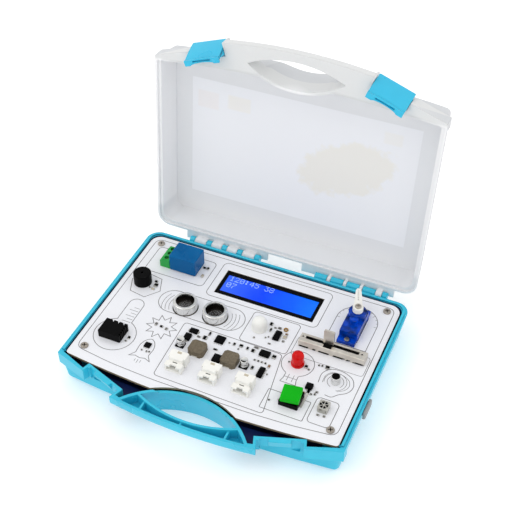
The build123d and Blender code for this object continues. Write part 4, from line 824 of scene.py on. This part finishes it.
def latchEndInto(bm, spot):
    # the slotted end: a crest outside, an arched strip inside, a foot at each side
    end, join, bottom = latchEnd, latchEnd["join"], latchLook["bottom"]
    columns = latchColumns()
    slotStart, slotEnd = end["slot"]
    front, back = {}, {}
    for i, along in enumerate(columns):
        rise = archRise(along)
        near = bottom + end["archLift"] * rise
        far, inner = near + end["deep"] + join["deep"], near + end["deepInner"]
        crest = plateOut(along, bottom) + end["crest"]
        foot = crest - end["footReach"] + rise
        rows = [(plateOut(along, far) + join["out"], far - join["rise"], far), (crest, near, far),
                (crest - slotStart, near, inner), (crest - slotEnd, near, inner),
                (foot, near + end["footRound"], inner)]
        for j, (out, low, high) in enumerate(rows):
            front[i, j] = bm.verts.new(spot(along, out, low))
            back[i, j] = bm.verts.new(spot(along, out - (join["sheet"] if j == 0 else 0.0), high))

    def present(i, j):
        middle = (columns[i] + columns[i + 1]) / 2
        return j != 2 or abs(middle) >= end["slotHalf"]

    sheetInto(bm, front, back, len(columns) - 1, 4, present)
    crest = plateOut(0, bottom) + end["crest"]
    (outer, inner), (low, high) = end["stripOut"], end["stripDeep"]
    strip = [(crest - outer, bottom + low), (crest - inner, bottom + low),
             (crest - inner, bottom + high), (crest - outer, bottom + high)]
    reach = end["slotHalf"] + end["stripPast"]
    slabForm(bm, strip, spot, -reach, reach)


def latchPiece(name, nodeName, body, side):
    look = latchLook
    spot = latchPlace(side)
    pivotOut, pivotDepth = look["pivot"]
    bm = bmesh.new()
    latchPlateInto(bm, spot)
    latchEndInto(bm, spot)
    for radius, half in ((look["barrel"], look["barrelHalf"]), (look["pin"], look["pinHalf"])):
        circle = [(pivotOut + radius * cos(2 * pi * i / 24), pivotDepth + radius * sin(2 * pi * i / 24))
                  for i in range(24)]
        slabForm(bm, circle, spot, -half, half)
    half = look["half"]
    slabForm(bm, [(pivotOut + out, pivotDepth + deep) for out, deep in look["web"]], spot, -half, half)
    under, foot = look["cheekLevels"], look["cheekLevels"][-1]
    cheek = [look["cheekBack"][0], *((plateOut(0, level) - look["cheekUnder"], level) for level in under),
             (plateOut(0, foot) - look["cheekFoot"], foot), look["cheekBack"][1]]
    for edge in (-1, 1):
        slabForm(bm, cheek, spot, *sorted((edge * half, edge * (half - look["cheekThick"]))))
    piece = addForm(name, bm, body, "case_cyan", "latchCyan", sharpAngle=30)
    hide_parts(nodeName)


def lidEars(name, side):
    # the lid's flange filled out to the latch at both ends
    look = lidEarLook
    bm = bmesh.new()
    (low, high), cut = look["depth"], look["cut"]
    for edge, out in ((1, look["outer"]), (-1, look["inner"])):
        corners = [(out, low), (look["back"], low), (look["back"], high), (out - cut, high),
                   (out, high - cut)]
        slabForm(bm, corners, latchPlace(side), *sorted(edge * value for value in look["run"]))
    addForm(name, bm, "lid", "lid_clear", "lidFrosted", sharpAngle=30)


lidEars("lidEarsRight", 1)
lidEars("lidEarsLeft", -1)
latchPiece("latchRight", "latch_right", "latch_right_body", 1)
latchPiece("latchLeft", "latch_left", "latch_left_body", -1)
print("latches shaped")

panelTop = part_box("panel_board")[1].z / mm

# chips: a moulded body drawn in at its top, a pin mark, bent legs
chipLook = {"edge": 0.12, "taper": 0.06, "markRadius": 0.28, "markShare": 0.08, "markInset": 0.9,
            "insetShare": 0.24, "markRise": 0.012, "markSink": 0.01}
legLook = {"bend": 0.42, "bodyMost": 1.6, "sheet": 0.16, "heel": 0.05, "inside": 0.1,
           "top": (0.3, 0.5), "under": (0.4, 0.2)}


def chipPieces():
    look = chipLook
    bodies = looseBoxes("chip_bodies")
    bm = bmesh.new()
    for low, high in bodies:
        softBlock(bm, low, high, look["edge"], 0, look["taper"])
        width, top = high[0] - low[0], high[2]
        radius = min(look["markRadius"], width * look["markShare"])
        inset = min(look["markInset"], width * look["insetShare"])
        raised = top + look["markRise"]
        mark = [(radius, top - look["markSink"]), (radius, raised), (0, raised)]
        turnedForm(bm, low[0] + inset, high[1] - inset, mark, 1, 14)
    piece = addForm("chipBodies", bm, "base", "black_plastic", "chipBlack", "chipMark")
    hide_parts("chip_bodies")
    bm = bmesh.new()
    for low, high in looseBoxes("part_legs"):
        bentLeg(bm, low, high, bodies)
    piece = addForm("chipLegs", bm, "base", "steel", "pinTin")
    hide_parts("part_legs")


def bentLeg(bm, low, high, bodies):
    # a flat foot on the panel that rises to the side of the nearest body
    look = legLook
    x, y = middleOf(low, high)

    def gap(box):
        return sum(max(box[0][i] - here, here - box[1][i], 0) for i, here in enumerate((x, y)))

    bodyLow, bodyHigh = min(bodies, key=gap)
    alongX = x < bodyLow[0] or x > bodyHigh[0]
    axis = 0 if alongX else 1
    side = 1 if (x, y)[axis] > (bodyLow[axis] + bodyHigh[axis]) / 2 else -1
    wall, tip = (bodyHigh[axis], high[axis]) if side > 0 else (bodyLow[axis], low[axis])
    half = (high[1 - axis] - low[1 - axis]) / 2
    middle = y if alongX else x
    bend = min(bodyHigh[2] - panelTop, look["bodyMost"]) * look["bend"]
    sheet, reach = look["sheet"], abs(tip - wall)
    topBend, topHeel = (reach * share for share in look["top"])
    underHeel, underBend = (reach * share for share in look["under"])
    profile = [(-look["inside"], bend), (topBend, bend), (topHeel, sheet + look["heel"]), (reach, sheet),
               (reach, 0.0), (underHeel, 0.0), (underBend, bend - sheet), (-look["inside"], bend - sheet)]

    def spot(along, out, depth):
        here, there = wall + side * out, middle + along
        return Vector((here, there, panelTop + depth) if alongX else (there, here, panelTop + depth))

    slabForm(bm, profile, spot, -half, half)


chipPieces()

# small parts: soldered ends on a body, black unless its place is listed
partLook = {
    "edge": 0.07, "endShare": 0.24, "endMin": 0.22, "longFrom": 2, "longShare": 0.7, "tuck": 0.6,
    "bodyShrink": 0.06, "bodyDrop": 0.02, "near": 0.6,
    "brown": [(30.5, -20.7), (57.7, -31.4), (30.3, 8.4)],
    "beige": [(30.2, 5.5), (-66.2, 10.9), (-41.6, 35.0)],
    "grey": [(24.4, 11.5), (21.6, 10.8), (12.4, -2.3), (53.6, -13.2), (-68.9, 11.6), (-49.3, -16.6),
             (-41.4, -17.9), (-60.0, -37.2), (-47.3, -39.8), (30.5, 2.0), (23.3, -3.3), (64.6, -27.9),
             (20.4, -19.2), (25.2, -19.2), (-19.6, -15.6), (0.2, -12.6), (17.4, -9.6), (71.2, -43.7),
             (75.0, -43.3)],
}
partKinds = ["black", "grey", "brown", "beige"]
partFinishes = ["chipBlack", "partGrey", "partBrown", "partBeige", "pinTin", "coilGold"]
endSlot, coilSlot = partFinishes.index("pinTin"), partFinishes.index("coilGold")
coilLook = {"place": (28.5, 11.7), "near": 0.2, "hole": 0.7, "steps": 56, "around": 10, "between": 0.93}


def partKind(x, y):
    for kind in partKinds[1:]:
        if any(abs(px - x) + abs(py - y) < partLook["near"] for px, py in partLook[kind]):
            return partKinds.index(kind)
    return 0


def partPieces():
    bm = bmesh.new()
    for low, high in looseBoxes("small_parts"):
        x, y = middleOf(low, high)
        if max(abs(x - coilLook["place"][0]), abs(y - coilLook["place"][1])) < coilLook["near"]:
            coilInto(bm, x, y, low, high)
        else:
            partInto(bm, low, high, partKind(x, y))
    piece = addForm("smallParts", bm, "base", "resistor_mixed", *partFinishes)
    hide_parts("small_parts")


def partInto(bm, low, high, kind):
    look = partLook
    axis = 0 if high[0] - low[0] >= high[1] - low[1] else 1
    length = high[axis] - low[axis]
    share = look["endShare"] * (look["longShare"] if length > look["longFrom"] else 1.0)
    end = max(look["endMin"], length * share)
    bodyLow, bodyHigh = list(low), list(high)
    bodyLow[axis] += end * look["tuck"]
    bodyHigh[axis] -= end * look["tuck"]
    bodyLow[1 - axis] += look["bodyShrink"]
    bodyHigh[1 - axis] -= look["bodyShrink"]
    bodyHigh[2] -= look["bodyDrop"]
    softBlock(bm, bodyLow, bodyHigh, look["edge"], kind)
    firstHigh, lastLow = list(high), list(low)
    firstHigh[axis] = low[axis] + end
    lastLow[axis] = high[axis] - end
    softBlock(bm, low, firstHigh, look["edge"], endSlot)
    softBlock(bm, lastLow, high, look["edge"], endSlot)


def coilInto(bm, x, y, low, high):
    # a wound ring: a round ring with raised turns of wire
    look = coilLook
    middle, half = (low[2] + high[2]) / 2, (high[2] - low[2]) / 2
    outer, hole = (high[0] - low[0]) / 2, look["hole"]
    mid, thick = (outer + hole) / 2, (outer - hole) / 2
    rings = []
    for i in range(look["steps"]):
        angle = 2 * pi * i / look["steps"]
        swell = look["between"] if i % 2 else 1.0
        ring = []
        for k in range(look["around"]):
            turn = 2 * pi * k / look["around"]
            reach = mid + thick * swell * cos(turn)
            ring.append(bm.verts.new((x + reach * cos(angle), y + reach * sin(angle),
                                      middle + half * swell * sin(turn))))
        rings.append(ring)
    joinRings(bm, rings, True, coilSlot)


partPieces()
print("small parts placed")

# ultrasonic sensor's wire meshes: two layers of wires woven over and under
meshLook = {"pitch": 0.78, "wire": 0.13, "wave": 0.12, "sides": 5, "stepsPerPitch": 2, "turn": 35,
            "inset": 0.15, "rimWide": 0.3, "rimRise": (0.2, 0.22), "rimOut": 0.1}


def wovenWires():
    look = meshLook
    bm = bmesh.new()
    for low, high in looseBoxes("sonar_meshes"):
        cx, cy = middleOf(low, high)
        reach = (high[0] - low[0]) / 2 - look["inset"]
        level = (low[2] + high[2]) / 2
        count = int(reach / look["pitch"])
        for layer in (0, 1):
            for i in range(-count, count + 1):
                offset = i * look["pitch"]
                half = sqrt(max(reach ** 2 - offset ** 2, 0.0))
                if half > look["pitch"] / 2:
                    wireInto(bm, cx, cy, level, offset, half, layer, i)
        innerRise, outerRise = look["rimRise"]
        inner = reach - look["rimWide"]
        rim = [(inner, level - innerRise), (reach, level - outerRise), (reach + look["rimOut"], level),
               (reach, level + outerRise), (inner, level + innerRise), (inner, level - innerRise)]
        turnedForm(bm, cx, cy, rim, 0, 48)
    piece = addForm("wovenMeshes", bm, "base", "steel", "wireDark", sharpAngle=60)
    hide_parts("sonar_meshes")


def wireInto(bm, cx, cy, level, offset, half, layer, index):
    look = meshLook
    steps = max(4, int(2 * half / look["pitch"] * look["stepsPerPitch"]))
    turn = radians(look["turn"])
    rings = []
    for k in range(steps + 1):
        along = -half + 2 * half * k / steps
        phase = pi * along / look["pitch"] + (pi if (index + layer) % 2 else 0)
        z = level + look["wave"] * cos(phase) * (1 if layer else -1)
        ring = []
        for side in range(look["sides"]):
            a = 2 * pi * side / look["sides"]
            across = offset + look["wire"] * cos(a)
            px, py = (along, across) if layer == 0 else (across, along)
            ring.append(bm.verts.new((cx + px * cos(turn) - py * sin(turn),
                                      cy + px * sin(turn) + py * cos(turn), z + look["wire"] * sin(a))))
        rings.append(ring)
    joinRings(bm, rings)


wovenWires()

# round capacitors: a rolled can with a groove and a dark half mark on its top
capacitorLook = {"groove": 0.22, "grooveAt": 0.3, "grooveHalf": 0.3, "foot": 0.1, "crown": 0.45,
                 "crownSteps": (25, 50, 75, 90), "dish": (0.1, 0.04), "mark": (205, 130),
                 "markInset": 0.05, "markDrop": 0.015}


def capacitorCans():
    look = capacitorLook
    crown, foot, half = look["crown"], look["foot"], look["grooveHalf"]
    bm = bmesh.new()
    for low, high in looseBoxes("capacitor_cans"):
        x, y = middleOf(low, high)
        bottom, top = low[2], high[2]
        radius = (high[0] - low[0]) / 2
        groove = bottom + (top - bottom) * look["grooveAt"]
        profile = [(0, bottom), (radius - foot, bottom), (radius, bottom + foot), (radius, groove - half),
                   (radius - look["groove"], groove), (radius, groove + half), (radius, top - crown)]
        profile += [(radius - crown + crown * cos(radians(a)), top - crown + crown * sin(radians(a)))
                    for a in look["crownSteps"]]
        dishInset, dishDrop = look["dish"]
        profile += [(radius - crown - dishInset, top - dishDrop), (0, top - dishDrop)]
        turnedForm(bm, x, y, profile, 0, 48)
        start, sweep = look["mark"]
        chord = arc(x, y, radius - crown - look["markInset"], start, start + sweep, 20)
        mark = bm.faces.new([bm.verts.new((px, py, top - look["markDrop"])) for px, py in chord])
        mark.material_index = 1
    piece = addForm("capacitorCans", bm, "base", "can_silver", "canSilver", "darkShadeAndPrint")
    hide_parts("capacitor_cans")


capacitorCans()

# inductors: a pressed block with cut corners, a faint top step and pale pads at its foot
inductorLook = {"corner": 1.5, "edge": 0.18, "topInset": 0.9, "topStep": 0.12, "padHalf": 1.9,
                "padRise": 0.7, "padOut": 0.25, "padTuck": 0.05, "padEdge": 0.08}


def inductorBlocks():
    look = inductorLook
    bm = bmesh.new()
    for low, high in looseBoxes("inductors"):
        before = set(bm.faces)
        cut = look["corner"]
        (x0, y0, bottom), (x1, y1, rise) = low, high
        path = [(x0 + cut, y0), (x1 - cut, y0), (x1, y0 + cut), (x1, y1 - cut), (x1 - cut, y1),
                (x0 + cut, y1), (x0, y1 - cut), (x0, y0 + cut)]
        rings = [[bm.verts.new((x, y, z)) for x, y in path] for z in (bottom, rise)]
        bm.faces.new(rings[0])
        top = bm.faces.new(rings[1])
        joinRings(bm, rings)
        bmesh.ops.inset_region(bm, faces=[top], thickness=look["topInset"], depth=0.0)
        bmesh.ops.translate(bm, verts=top.verts, vec=(0, 0, -look["topStep"]))
        edges = list({edge for face in set(bm.faces) - before for edge in face.edges})
        bmesh.ops.bevel(bm, geom=edges, offset=look["edge"], segments=2, profile=0.5, affect="EDGES")
        x, tuck = (x0 + x1) / 2, look["padTuck"]
        for y, out in ((y0, -look["padOut"]), (y1, look["padOut"])):
            padLow = (x - look["padHalf"], min(y, y + out) - tuck, bottom)
            padHigh = (x + look["padHalf"], max(y, y + out) + tuck, bottom + look["padRise"])
            softBlock(bm, padLow, padHigh, look["padEdge"], 1)
    piece = addForm("inductorBlocks", bm, "base", "ferrite_grey", "ferriteGrey", "padWhite",
                    sharpAngle=30)
    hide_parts("inductors")


inductorBlocks()
print("power parts shaped")

# the display's lit dots: generic numbers on two rows
digitDots = {
    "0": "01110 10001 10011 10101 11001 10001 01110", "1": "00100 01100 00100 00100 00100 00100 01110",
    "2": "01110 10001 00001 00010 00100 01000 11111", "3": "11111 00010 00100 00010 00001 10001 01110",
    "4": "00010 00110 01010 10010 11111 00010 00010", "5": "11111 10000 11110 00001 00001 10001 01110",
    "6": "00110 01000 10000 11110 10001 10001 01110", "7": "11111 00001 00010 00100 01000 01000 01000",
    "8": "01110 10001 10001 01110 10001 10001 01110", "9": "01110 10001 10001 01111 00001 00010 01100",
    ":": "00000 01100 01100 00000 01100 01100 00000", " ": "00000 00000 00000 00000 00000 00000 00000",
}
digitLook = {"rows": ["120:45 38", "07"], "cell": 3.55, "rowPitch": 6.3, "dot": (0.52, 0.6),
             "dotPitch": (0.6, 0.68), "inset": (3.4, 2.3), "lift": 0.02}


def litDigits():
    look = digitLook
    (dotX, dotY), (pitchX, pitchY), (insetX, insetY) = look["dot"], look["dotPitch"], look["inset"]
    low, high = (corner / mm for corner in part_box("lcd_glass"))
    level = high.z + look["lift"]
    points, faces = [], []
    for row, signs in enumerate(look["rows"]):
        for column, sign in enumerate(signs):
            for down, bits in enumerate(digitDots[sign].split()):
                for across in [i for i, bit in enumerate(bits) if bit == "1"]:
                    x = low.x + insetX + column * look["cell"] + across * pitchX
                    y = high.y - insetY - row * look["rowPitch"] - down * pitchY
                    base = len(points)
                    points += [(x, y, level), (x + dotX, y, level), (x + dotX, y - dotY, level),
                               (x, y - dotY, level)]
                    faces.append((base + 3, base + 2, base + 1, base))
    addObject("litDigits", meshFrom("litDigits", points, faces), "base", "lcd_blue", "displayGlow")


litDigits()

# painted shade: dark crosses set in the screws' slots
crossShadeLook = {"turns": (25, 115), "drop": 0.5, "sink": 0.1, "lift": 0.05, "length": 2.7, "width": 0.56,
             "edge": 0.05}


def screwSlotShade():
    look = crossShadeLook
    halfLong, halfWide = look["length"] / 2, look["width"] / 2
    bm = bmesh.new()
    for low, high in looseBoxes("panel_screws"):
        x, y = middleOf(low, high)
        level = high[2] - look["drop"]
        for turn in look["turns"]:
            softBlock(bm, (x - halfLong, y - halfWide, level - look["sink"]),
                      (x + halfLong, y + halfWide, level + look["lift"]), look["edge"], 0, 0, turn)
    addForm("screwSlotShade", bm, "base", "steel", "darkShadeAndPrint")


screwSlotShade()

# recesses on the cable sockets' tops, finish slot 0 dark painted shade and slot 1 beige: width, depth,
# start from the front, drop, finish slot
socketLook = {"recesses": [(2.9, 1.8, 10.4, 0.0, 1), (3.2, 0.7, 3.6, 2.0, 0)], "deep": 0.3, "proud": 0.02,
              "edge": 0.1}


def socketMarksAndShade():
    look = socketLook
    bm = bmesh.new()
    for low, high in looseBoxes("cable_connectors"):
        x = middleOf(low, high)[0]
        for width, depth, start, drop, kind in look["recesses"]:
            y, level = low[1] + start, high[2] - drop
            softBlock(bm, (x - width / 2, y - depth / 2, level - look["deep"]),
                      (x + width / 2, y + depth / 2, level + look["proud"]), look["edge"], kind)
    addForm("socketMarksAndShade", bm, "base", "white_plastic", "darkShadeAndPrint", "partBeige")


socketMarksAndShade()

# painted shade: dark blocks in the openings along the foot of the slide control's front, as shares of its
# length
sliderLook = {"openings": [(0.015, 0.15), (0.22, 0.26), (0.31, 0.46), (0.53, 0.68), (0.73, 0.76),
                           (0.83, 0.97)],
              "low": 0.1, "high": 0.95, "deep": 0.4, "proud": 0.04, "edge": 0.08}


def sliderOpeningShade():
    look = sliderLook
    low, high = (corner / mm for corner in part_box("pot_frame"))
    length = high.x - low.x
    bm = bmesh.new()
    for start, end in look["openings"]:
        softBlock(bm, (low.x + start * length, low.y - look["proud"], low.z + look["low"]),
                  (low.x + end * length, low.y + look["deep"], low.z + look["high"]), look["edge"])
    addForm("sliderOpeningShade", bm, "base", "steel", "darkShadeAndPrint")


sliderOpeningShade()
print("display, screws, sockets and slide control detailed")

# lines printed on the panel; a stroke is a path, whether it closes, and its width
printLook = {"lift": 0.02, "line": 0.42, "fine": 0.3, "sharpest": 0.35}


def loop(path):
    return path, True, printLook["line"]


def run(path):
    return path, False, printLook["line"]


def fine(path):
    return path, False, printLook["fine"]


def ribbon(points, width, closed):
    # a flat strip along a path, mitred at its corners
    count = len(points)
    left, right = [], []
    for i, (x, y) in enumerate(points):
        before = points[i - 1] if closed else points[max(i - 1, 0)]
        after = points[(i + 1) % count] if closed else points[min(i + 1, count - 1)]
        inDir = Vector((x - before[0], y - before[1]))
        outDir = Vector((after[0] - x, after[1] - y))
        if inDir.length < 1e-6:
            inDir = outDir
        if outDir.length < 1e-6:
            outDir = inDir
        inDir.normalize()
        outDir.normalize()
        mid = inDir + outDir
        mid = mid.normalized() if mid.length > 1e-4 else inDir
        reach = width / 2 / max(printLook["sharpest"], mid.dot(inDir))
        left.append((x - mid.y * reach, y + mid.x * reach))
        right.append((x + mid.y * reach, y - mid.x * reach))
    steps = [(i, (i + 1) % count) for i in range(count if closed else count - 1)]
    return left + right, [(i, count + i, count + j, j) for i, j in steps]


def printPiece(name, strokes):
    points, faces = [], []
    for path, closed, width in strokes:
        pathPoints, pathFaces = ribbon(path, width, closed)
        base = len(points)
        points += [(x, y, panelTop + printLook["lift"]) for x, y in pathPoints]
        faces += [tuple(base + i for i in face) for face in pathFaces]
    addObject(name, meshFrom(name, points, faces), "base", "panel_white", "lineInk")


def roundBox(x0, x1, y0, y1, radius):
    corners = [(x1 - radius, y1 - radius), (x0 + radius, y1 - radius), (x0 + radius, y0 + radius),
               (x1 - radius, y0 + radius)]
    path = []
    for i, (cx, cy) in enumerate(corners):
        path += arc(cx, cy, radius, 90 * i, 90 * i + 90, 6)
    return path


def roundPath(corners, radius, closed=True, steps=5):
    # straight runs with each corner rounded off
    path, count = [], len(corners)
    for i, corner in enumerate(corners):
        here = Vector(corner)
        if not closed and i in (0, count - 1):
            path.append(tuple(here))
            continue
        before = Vector(corners[i - 1]) - here
        after = Vector(corners[(i + 1) % count]) - here
        cut = min(radius, before.length / 2.1, after.length / 2.1)
        start, end = here + before.normalized() * cut, here + after.normalized() * cut
        for k in range(steps + 1):
            t = k / steps
            path.append(tuple(start * (1 - t) ** 2 + here * 2 * t * (1 - t) + end * t * t))
    return path


def mirrored(half):
    # the right half of an outline, joined to its mirror image on the left
    return [(-x, y) for x, y in half] + [(x, y) for x, y in reversed(half) if x]


def moved(path, x):
    return [(px + x, py) for px, py in path]


borderLook = {"corners": [(-86.4, -53.4), (-86.4, 56.8), (86.4, 56.8), (86.4, -53.6), (60, -56.8),
                          (30, -58.4), (-30, -58.4), (-60, -56.8)], "radius": 5}


def borderPrint():
    printPiece("borderLine", [loop(roundPath(borderLook["corners"], borderLook["radius"]))])


thermometerLook = {"bulb": (-69.4, -34.6), "radius": 13.6, "neck": 22.0, "tubeHalf": 5.1, "tubeTop": -6.2,
                   "ticks": 6, "tickTop": -9.0, "tickPitch": 2.6, "tickStart": (4.8, 7.0), "tickEnd": 0.8}


def thermometerPrint():
    look = thermometerLook
    (cx, cy), half = look["bulb"], look["tubeHalf"]
    outline = arc(cx, cy, look["radius"], 90 - look["neck"], look["neck"] - 270, 44)
    outline += [(cx - half, look["tubeTop"])] + arc(cx, look["tubeTop"], half, 180, 0, 14)
    strokes = [loop(outline)]
    for i in range(look["ticks"]):
        y = look["tickTop"] - look["tickPitch"] * i
        start, end = cx + half - look["tickStart"][i % 2], cx + half - look["tickEnd"]
        strokes.append(fine([(start, y), (end, y)]))
    printPiece("thermometerLines", strokes)


# figures drawn as a star or polygon: middle, outer and inner radius, first angle, corners
starLook = {"buzzerHexagon": ((-72.3, 12.8), 11.4, 11.4, 51, 6),
            "sunLines": ((-45.1, -17.4), 10.2, 6.2, 6.875, 20)}


def starPrints():
    for name, ((cx, cy), outer, inner, first, count) in starLook.items():
        corners = []
        for i in range(count):
            radius, a = (inner if i % 2 else outer), radians(first + 360 * i / count)
            corners.append((cx + radius * cos(a), cy + radius * sin(a)))
        printPiece(name, [loop(corners)])


rocketLook = {"middle": -45.6, "nose": [(4.4, -42.6), (5.0, -36), (3.4, -31.4), (0, -28.6)],
              "noseRadius": 2.4, "fins": [(4.4, -42.6), (7.2, -46.6), (3.4, -45.2), (0, -46.0)],
              "flame": 1.9, "flameTop": -47.6, "flameEnd": (-50.6, -49.6)}


def rocketPrint():
    look = rocketLook
    middle = look["middle"]
    nose = roundPath(moved(mirrored(look["nose"]), middle), look["noseRadius"], False)
    strokes = [run(nose), run(moved(mirrored(look["fins"]), middle))]
    for i in (-1, 0, 1):
        x = middle + i * look["flame"]
        strokes.append(fine([(x, look["flameTop"]), (x, look["flameEnd"][abs(i)])]))
    printPiece("rocketLines", strokes)


echoLook = {"box": (-58.4, 1.6, -3.5, 16.3, 9.7), "left": (-39.0, 4.8), "right": (-17.9, 5.0),
            "waves": [(11.0, 36), (13.4, 32), (15.8, 28)]}


def sonarPrint():
    look = echoLook
    strokes = [loop(roundBox(*look["box"]))]
    for radius, spread in look["waves"]:
        strokes.append(fine(arc(*look["left"], radius, 180 - spread, 180 + spread, 12)))
        strokes.append(fine(arc(*look["right"], radius, -spread, spread, 12)))
    printPiece("echoLines", strokes)


# boxes: left, right, front, rear and the corners' radius
boxLook = {"relayBoxLine": (-81, -37.6, 26, 50.4, 3), "displayBoxLine": (-33, 45.2, 20.8, 54, 3.6),
           "motionBoxLine": (4, 36, -7.4, 19.4, 2.4), "buttonBoxLine": (37.2, 64.2, -51.6, -36.4, 0.6),
           "infraredBoxLine": (66.4, 80.4, -50.4, -30.6, 2.6)}
controllerLook = {"corners": [(-33.2, -7.6), (34.2, -8.2), (41.2, -55.6), (-31.6, -54.6)], "radius": 2.6}
sliderBox = (38.2, 85.4, -5.6, 10.6, 2.0)


def boxPrints():
    for name, box in boxLook.items():
        printPiece(name, [loop(roundBox(*box))])
    controller = roundPath(controllerLook["corners"], controllerLook["radius"])
    printPiece("controllerBoxLine", [loop(controller)])
    printPiece("sliderBoxLine", [(roundBox(*sliderBox), True, printLook["fine"])])


bulbLook = {"middle": (45.8, -11.3), "radius": 10.2, "sweep": (-66, 246),
            "neck": [(4.1, -20.8), (4.1, -24.6), (5.0, -28.2)], "collar": 4.1, "collarAt": -23.6,
            "wire": 1.6, "wireEnds": (-20.9, -26.4)}


def bulbPrint():
    look = bulbLook
    cx, cy = look["middle"]
    collar, wire, (top, bottom) = look["collar"], look["wire"], look["wireEnds"]
    strokes = [run(arc(cx, cy, look["radius"], *look["sweep"], 36)),
               run(moved(mirrored(look["neck"]), cx)),
               fine([(cx - collar, look["collarAt"]), (cx + collar, look["collarAt"])])]
    strokes += [fine([(cx + x, top), (cx + x, bottom)]) for x in (-wire, wire)]
    printPiece("bulbLines", strokes)


earLineLook = {
    "middle": (71.9, -15.7), "arcs": [(5.0, -40, 250), (6.9, -70, 200)],
    "outer": [(62.4, -20), (61.6, -12), (66, -6.6), (74, -6.0), (81.4, -9.6), (83.6, -16), (81.6, -21.4),
              (76.6, -24.4), (73.8, -28.2), (69.4, -27.6)], "outerRadius": 5,
    "inner": [(64.6, -19), (64.4, -13), (67.6, -9), (73.6, -8.6), (79.4, -11.4), (81.0, -16),
              (79.4, -19.8), (75.2, -22.6)], "innerRadius": 4.4,
}


def earPrint():
    look = earLineLook
    strokes = [fine(arc(*look["middle"], *sweep, 26)) for sweep in look["arcs"]]
    strokes.append(run(roundPath(look["outer"], look["outerRadius"], False)))
    strokes.append(fine(roundPath(look["inner"], look["innerRadius"], False)))
    printPiece("earLines", strokes)


protractorLook = {"middle": (66.9, 36.6), "radius": 13.4, "foot": 14.6, "ticks": 13, "pitch": 15,
                  "long": 2.0, "short": 1.2, "gap": 0.3}


def protractorPrint():
    look = protractorLook
    (cx, cy), radius, foot = look["middle"], look["radius"], look["foot"]
    strokes = [loop([(cx + radius, foot)] + arc(cx, cy, radius, 0, 180, 30) + [(cx - radius, foot)])]
    for i in range(look["ticks"]):
        a, length = radians(look["pitch"] * i), look["short"] if i % 3 else look["long"]
        strokes.append(fine([(cx + reach * cos(a), cy + reach * sin(a))
                             for reach in (radius - length, radius - look["gap"])]))
    printPiece("protractorLines", strokes)


for drawing in (borderPrint, thermometerPrint, starPrints, rocketPrint, sonarPrint, boxPrints, bulbPrint,
                earPrint, protractorPrint):
    drawing()
print("panel lines printed")

# floor, light and camera; lengths in metres
studio = {
    "floor": {"colour": (250, 250, 250), "shade": (247, 247, 247)}, "floorGlow": 0.2, "floorHalf": 4.0,
    "floorDrop": 0.00002, "floorGrain": 300, "floorRough": 0.8, "floorShine": 0.2,
    "skyStrength": 1.0, "aim": (0, 0, 0.03),
    "key": (2.5, (-0.7, -0.5, 1.2), 0.9), "top": (0.8, (0.3, 0.4, 1.5), 1.2),
    "lens": 68.52, "sensor": 36, "shift": (0.0235, 0.0853), "nearClip": 0.01,
    "camera": (0.17878, -0.38181, 0.47077), "cameraTurn": (45.048393, 0.448043, 24.131453),
}


def studioFloor():
    half = studio["floorHalf"] / mm
    corners = [(-half, -half, 0), (half, -half, 0), (half, half, 0), (-half, half, 0)]
    mesh = meshFrom("floor", corners, [(0, 1, 2, 3)])
    floor = bpy.data.objects.new("floor", mesh)
    bpy.context.scene.collection.objects.link(floor)
    material, tree, shader = newFinish("paperFloor")
    grain = speckle(tree, studio["floorGrain"])
    paper = mottle(tree, grain, studio["floor"])
    setSockets(tree, shader, {"Base Color": paper, "Emission Color": paper,
                              "Emission Strength": studio["floorGlow"],
                              "Roughness": span(tree, grain, studio["floorRough"], 0.05, 0.05),
                              **shine(studio["floorShine"])})
    mesh.materials.append(material)
    floor.location.z = -studio["floorDrop"]


def softLight(name, power, where, size):
    data = bpy.data.lights.new(name, "AREA")
    data.shape = "SQUARE"
    data.size = size
    data.energy = power
    lamp = bpy.data.objects.new(name, data)
    bpy.context.scene.collection.objects.link(lamp)
    lamp.location = where
    lamp.rotation_euler = (Vector(studio["aim"]) - Vector(where)).to_track_quat("-Z", "Y").to_euler()


def studioLights():
    world = bpy.data.worlds.new("softSky")
    world.use_nodes = True
    sky = world.node_tree.nodes["Background"]
    sky.inputs["Color"].default_value = (1, 1, 1, 1)
    sky.inputs["Strength"].default_value = studio["skyStrength"]
    bpy.context.scene.world = world
    softLight("keySoftbox", *studio["key"])
    softLight("topSoftbox", *studio["top"])
    bpy.context.scene.view_settings.view_transform = "Standard"


def photoCamera():
    data = bpy.data.cameras.new("camera")
    data.lens = studio["lens"]
    data.sensor_width = studio["sensor"]
    data.shift_x, data.shift_y = studio["shift"]
    data.clip_start = studio["nearClip"]
    data.dof.use_dof = False
    camera = bpy.data.objects.new("camera", data)
    bpy.context.scene.collection.objects.link(camera)
    turn = Euler([radians(angle) for angle in studio["cameraTurn"]]).to_matrix().to_4x4()
    camera.matrix_world = Matrix.Translation(studio["camera"]) @ turn
    bpy.context.scene.camera = camera


studioFloor()
studioLights()
photoCamera()
print("studio ready")
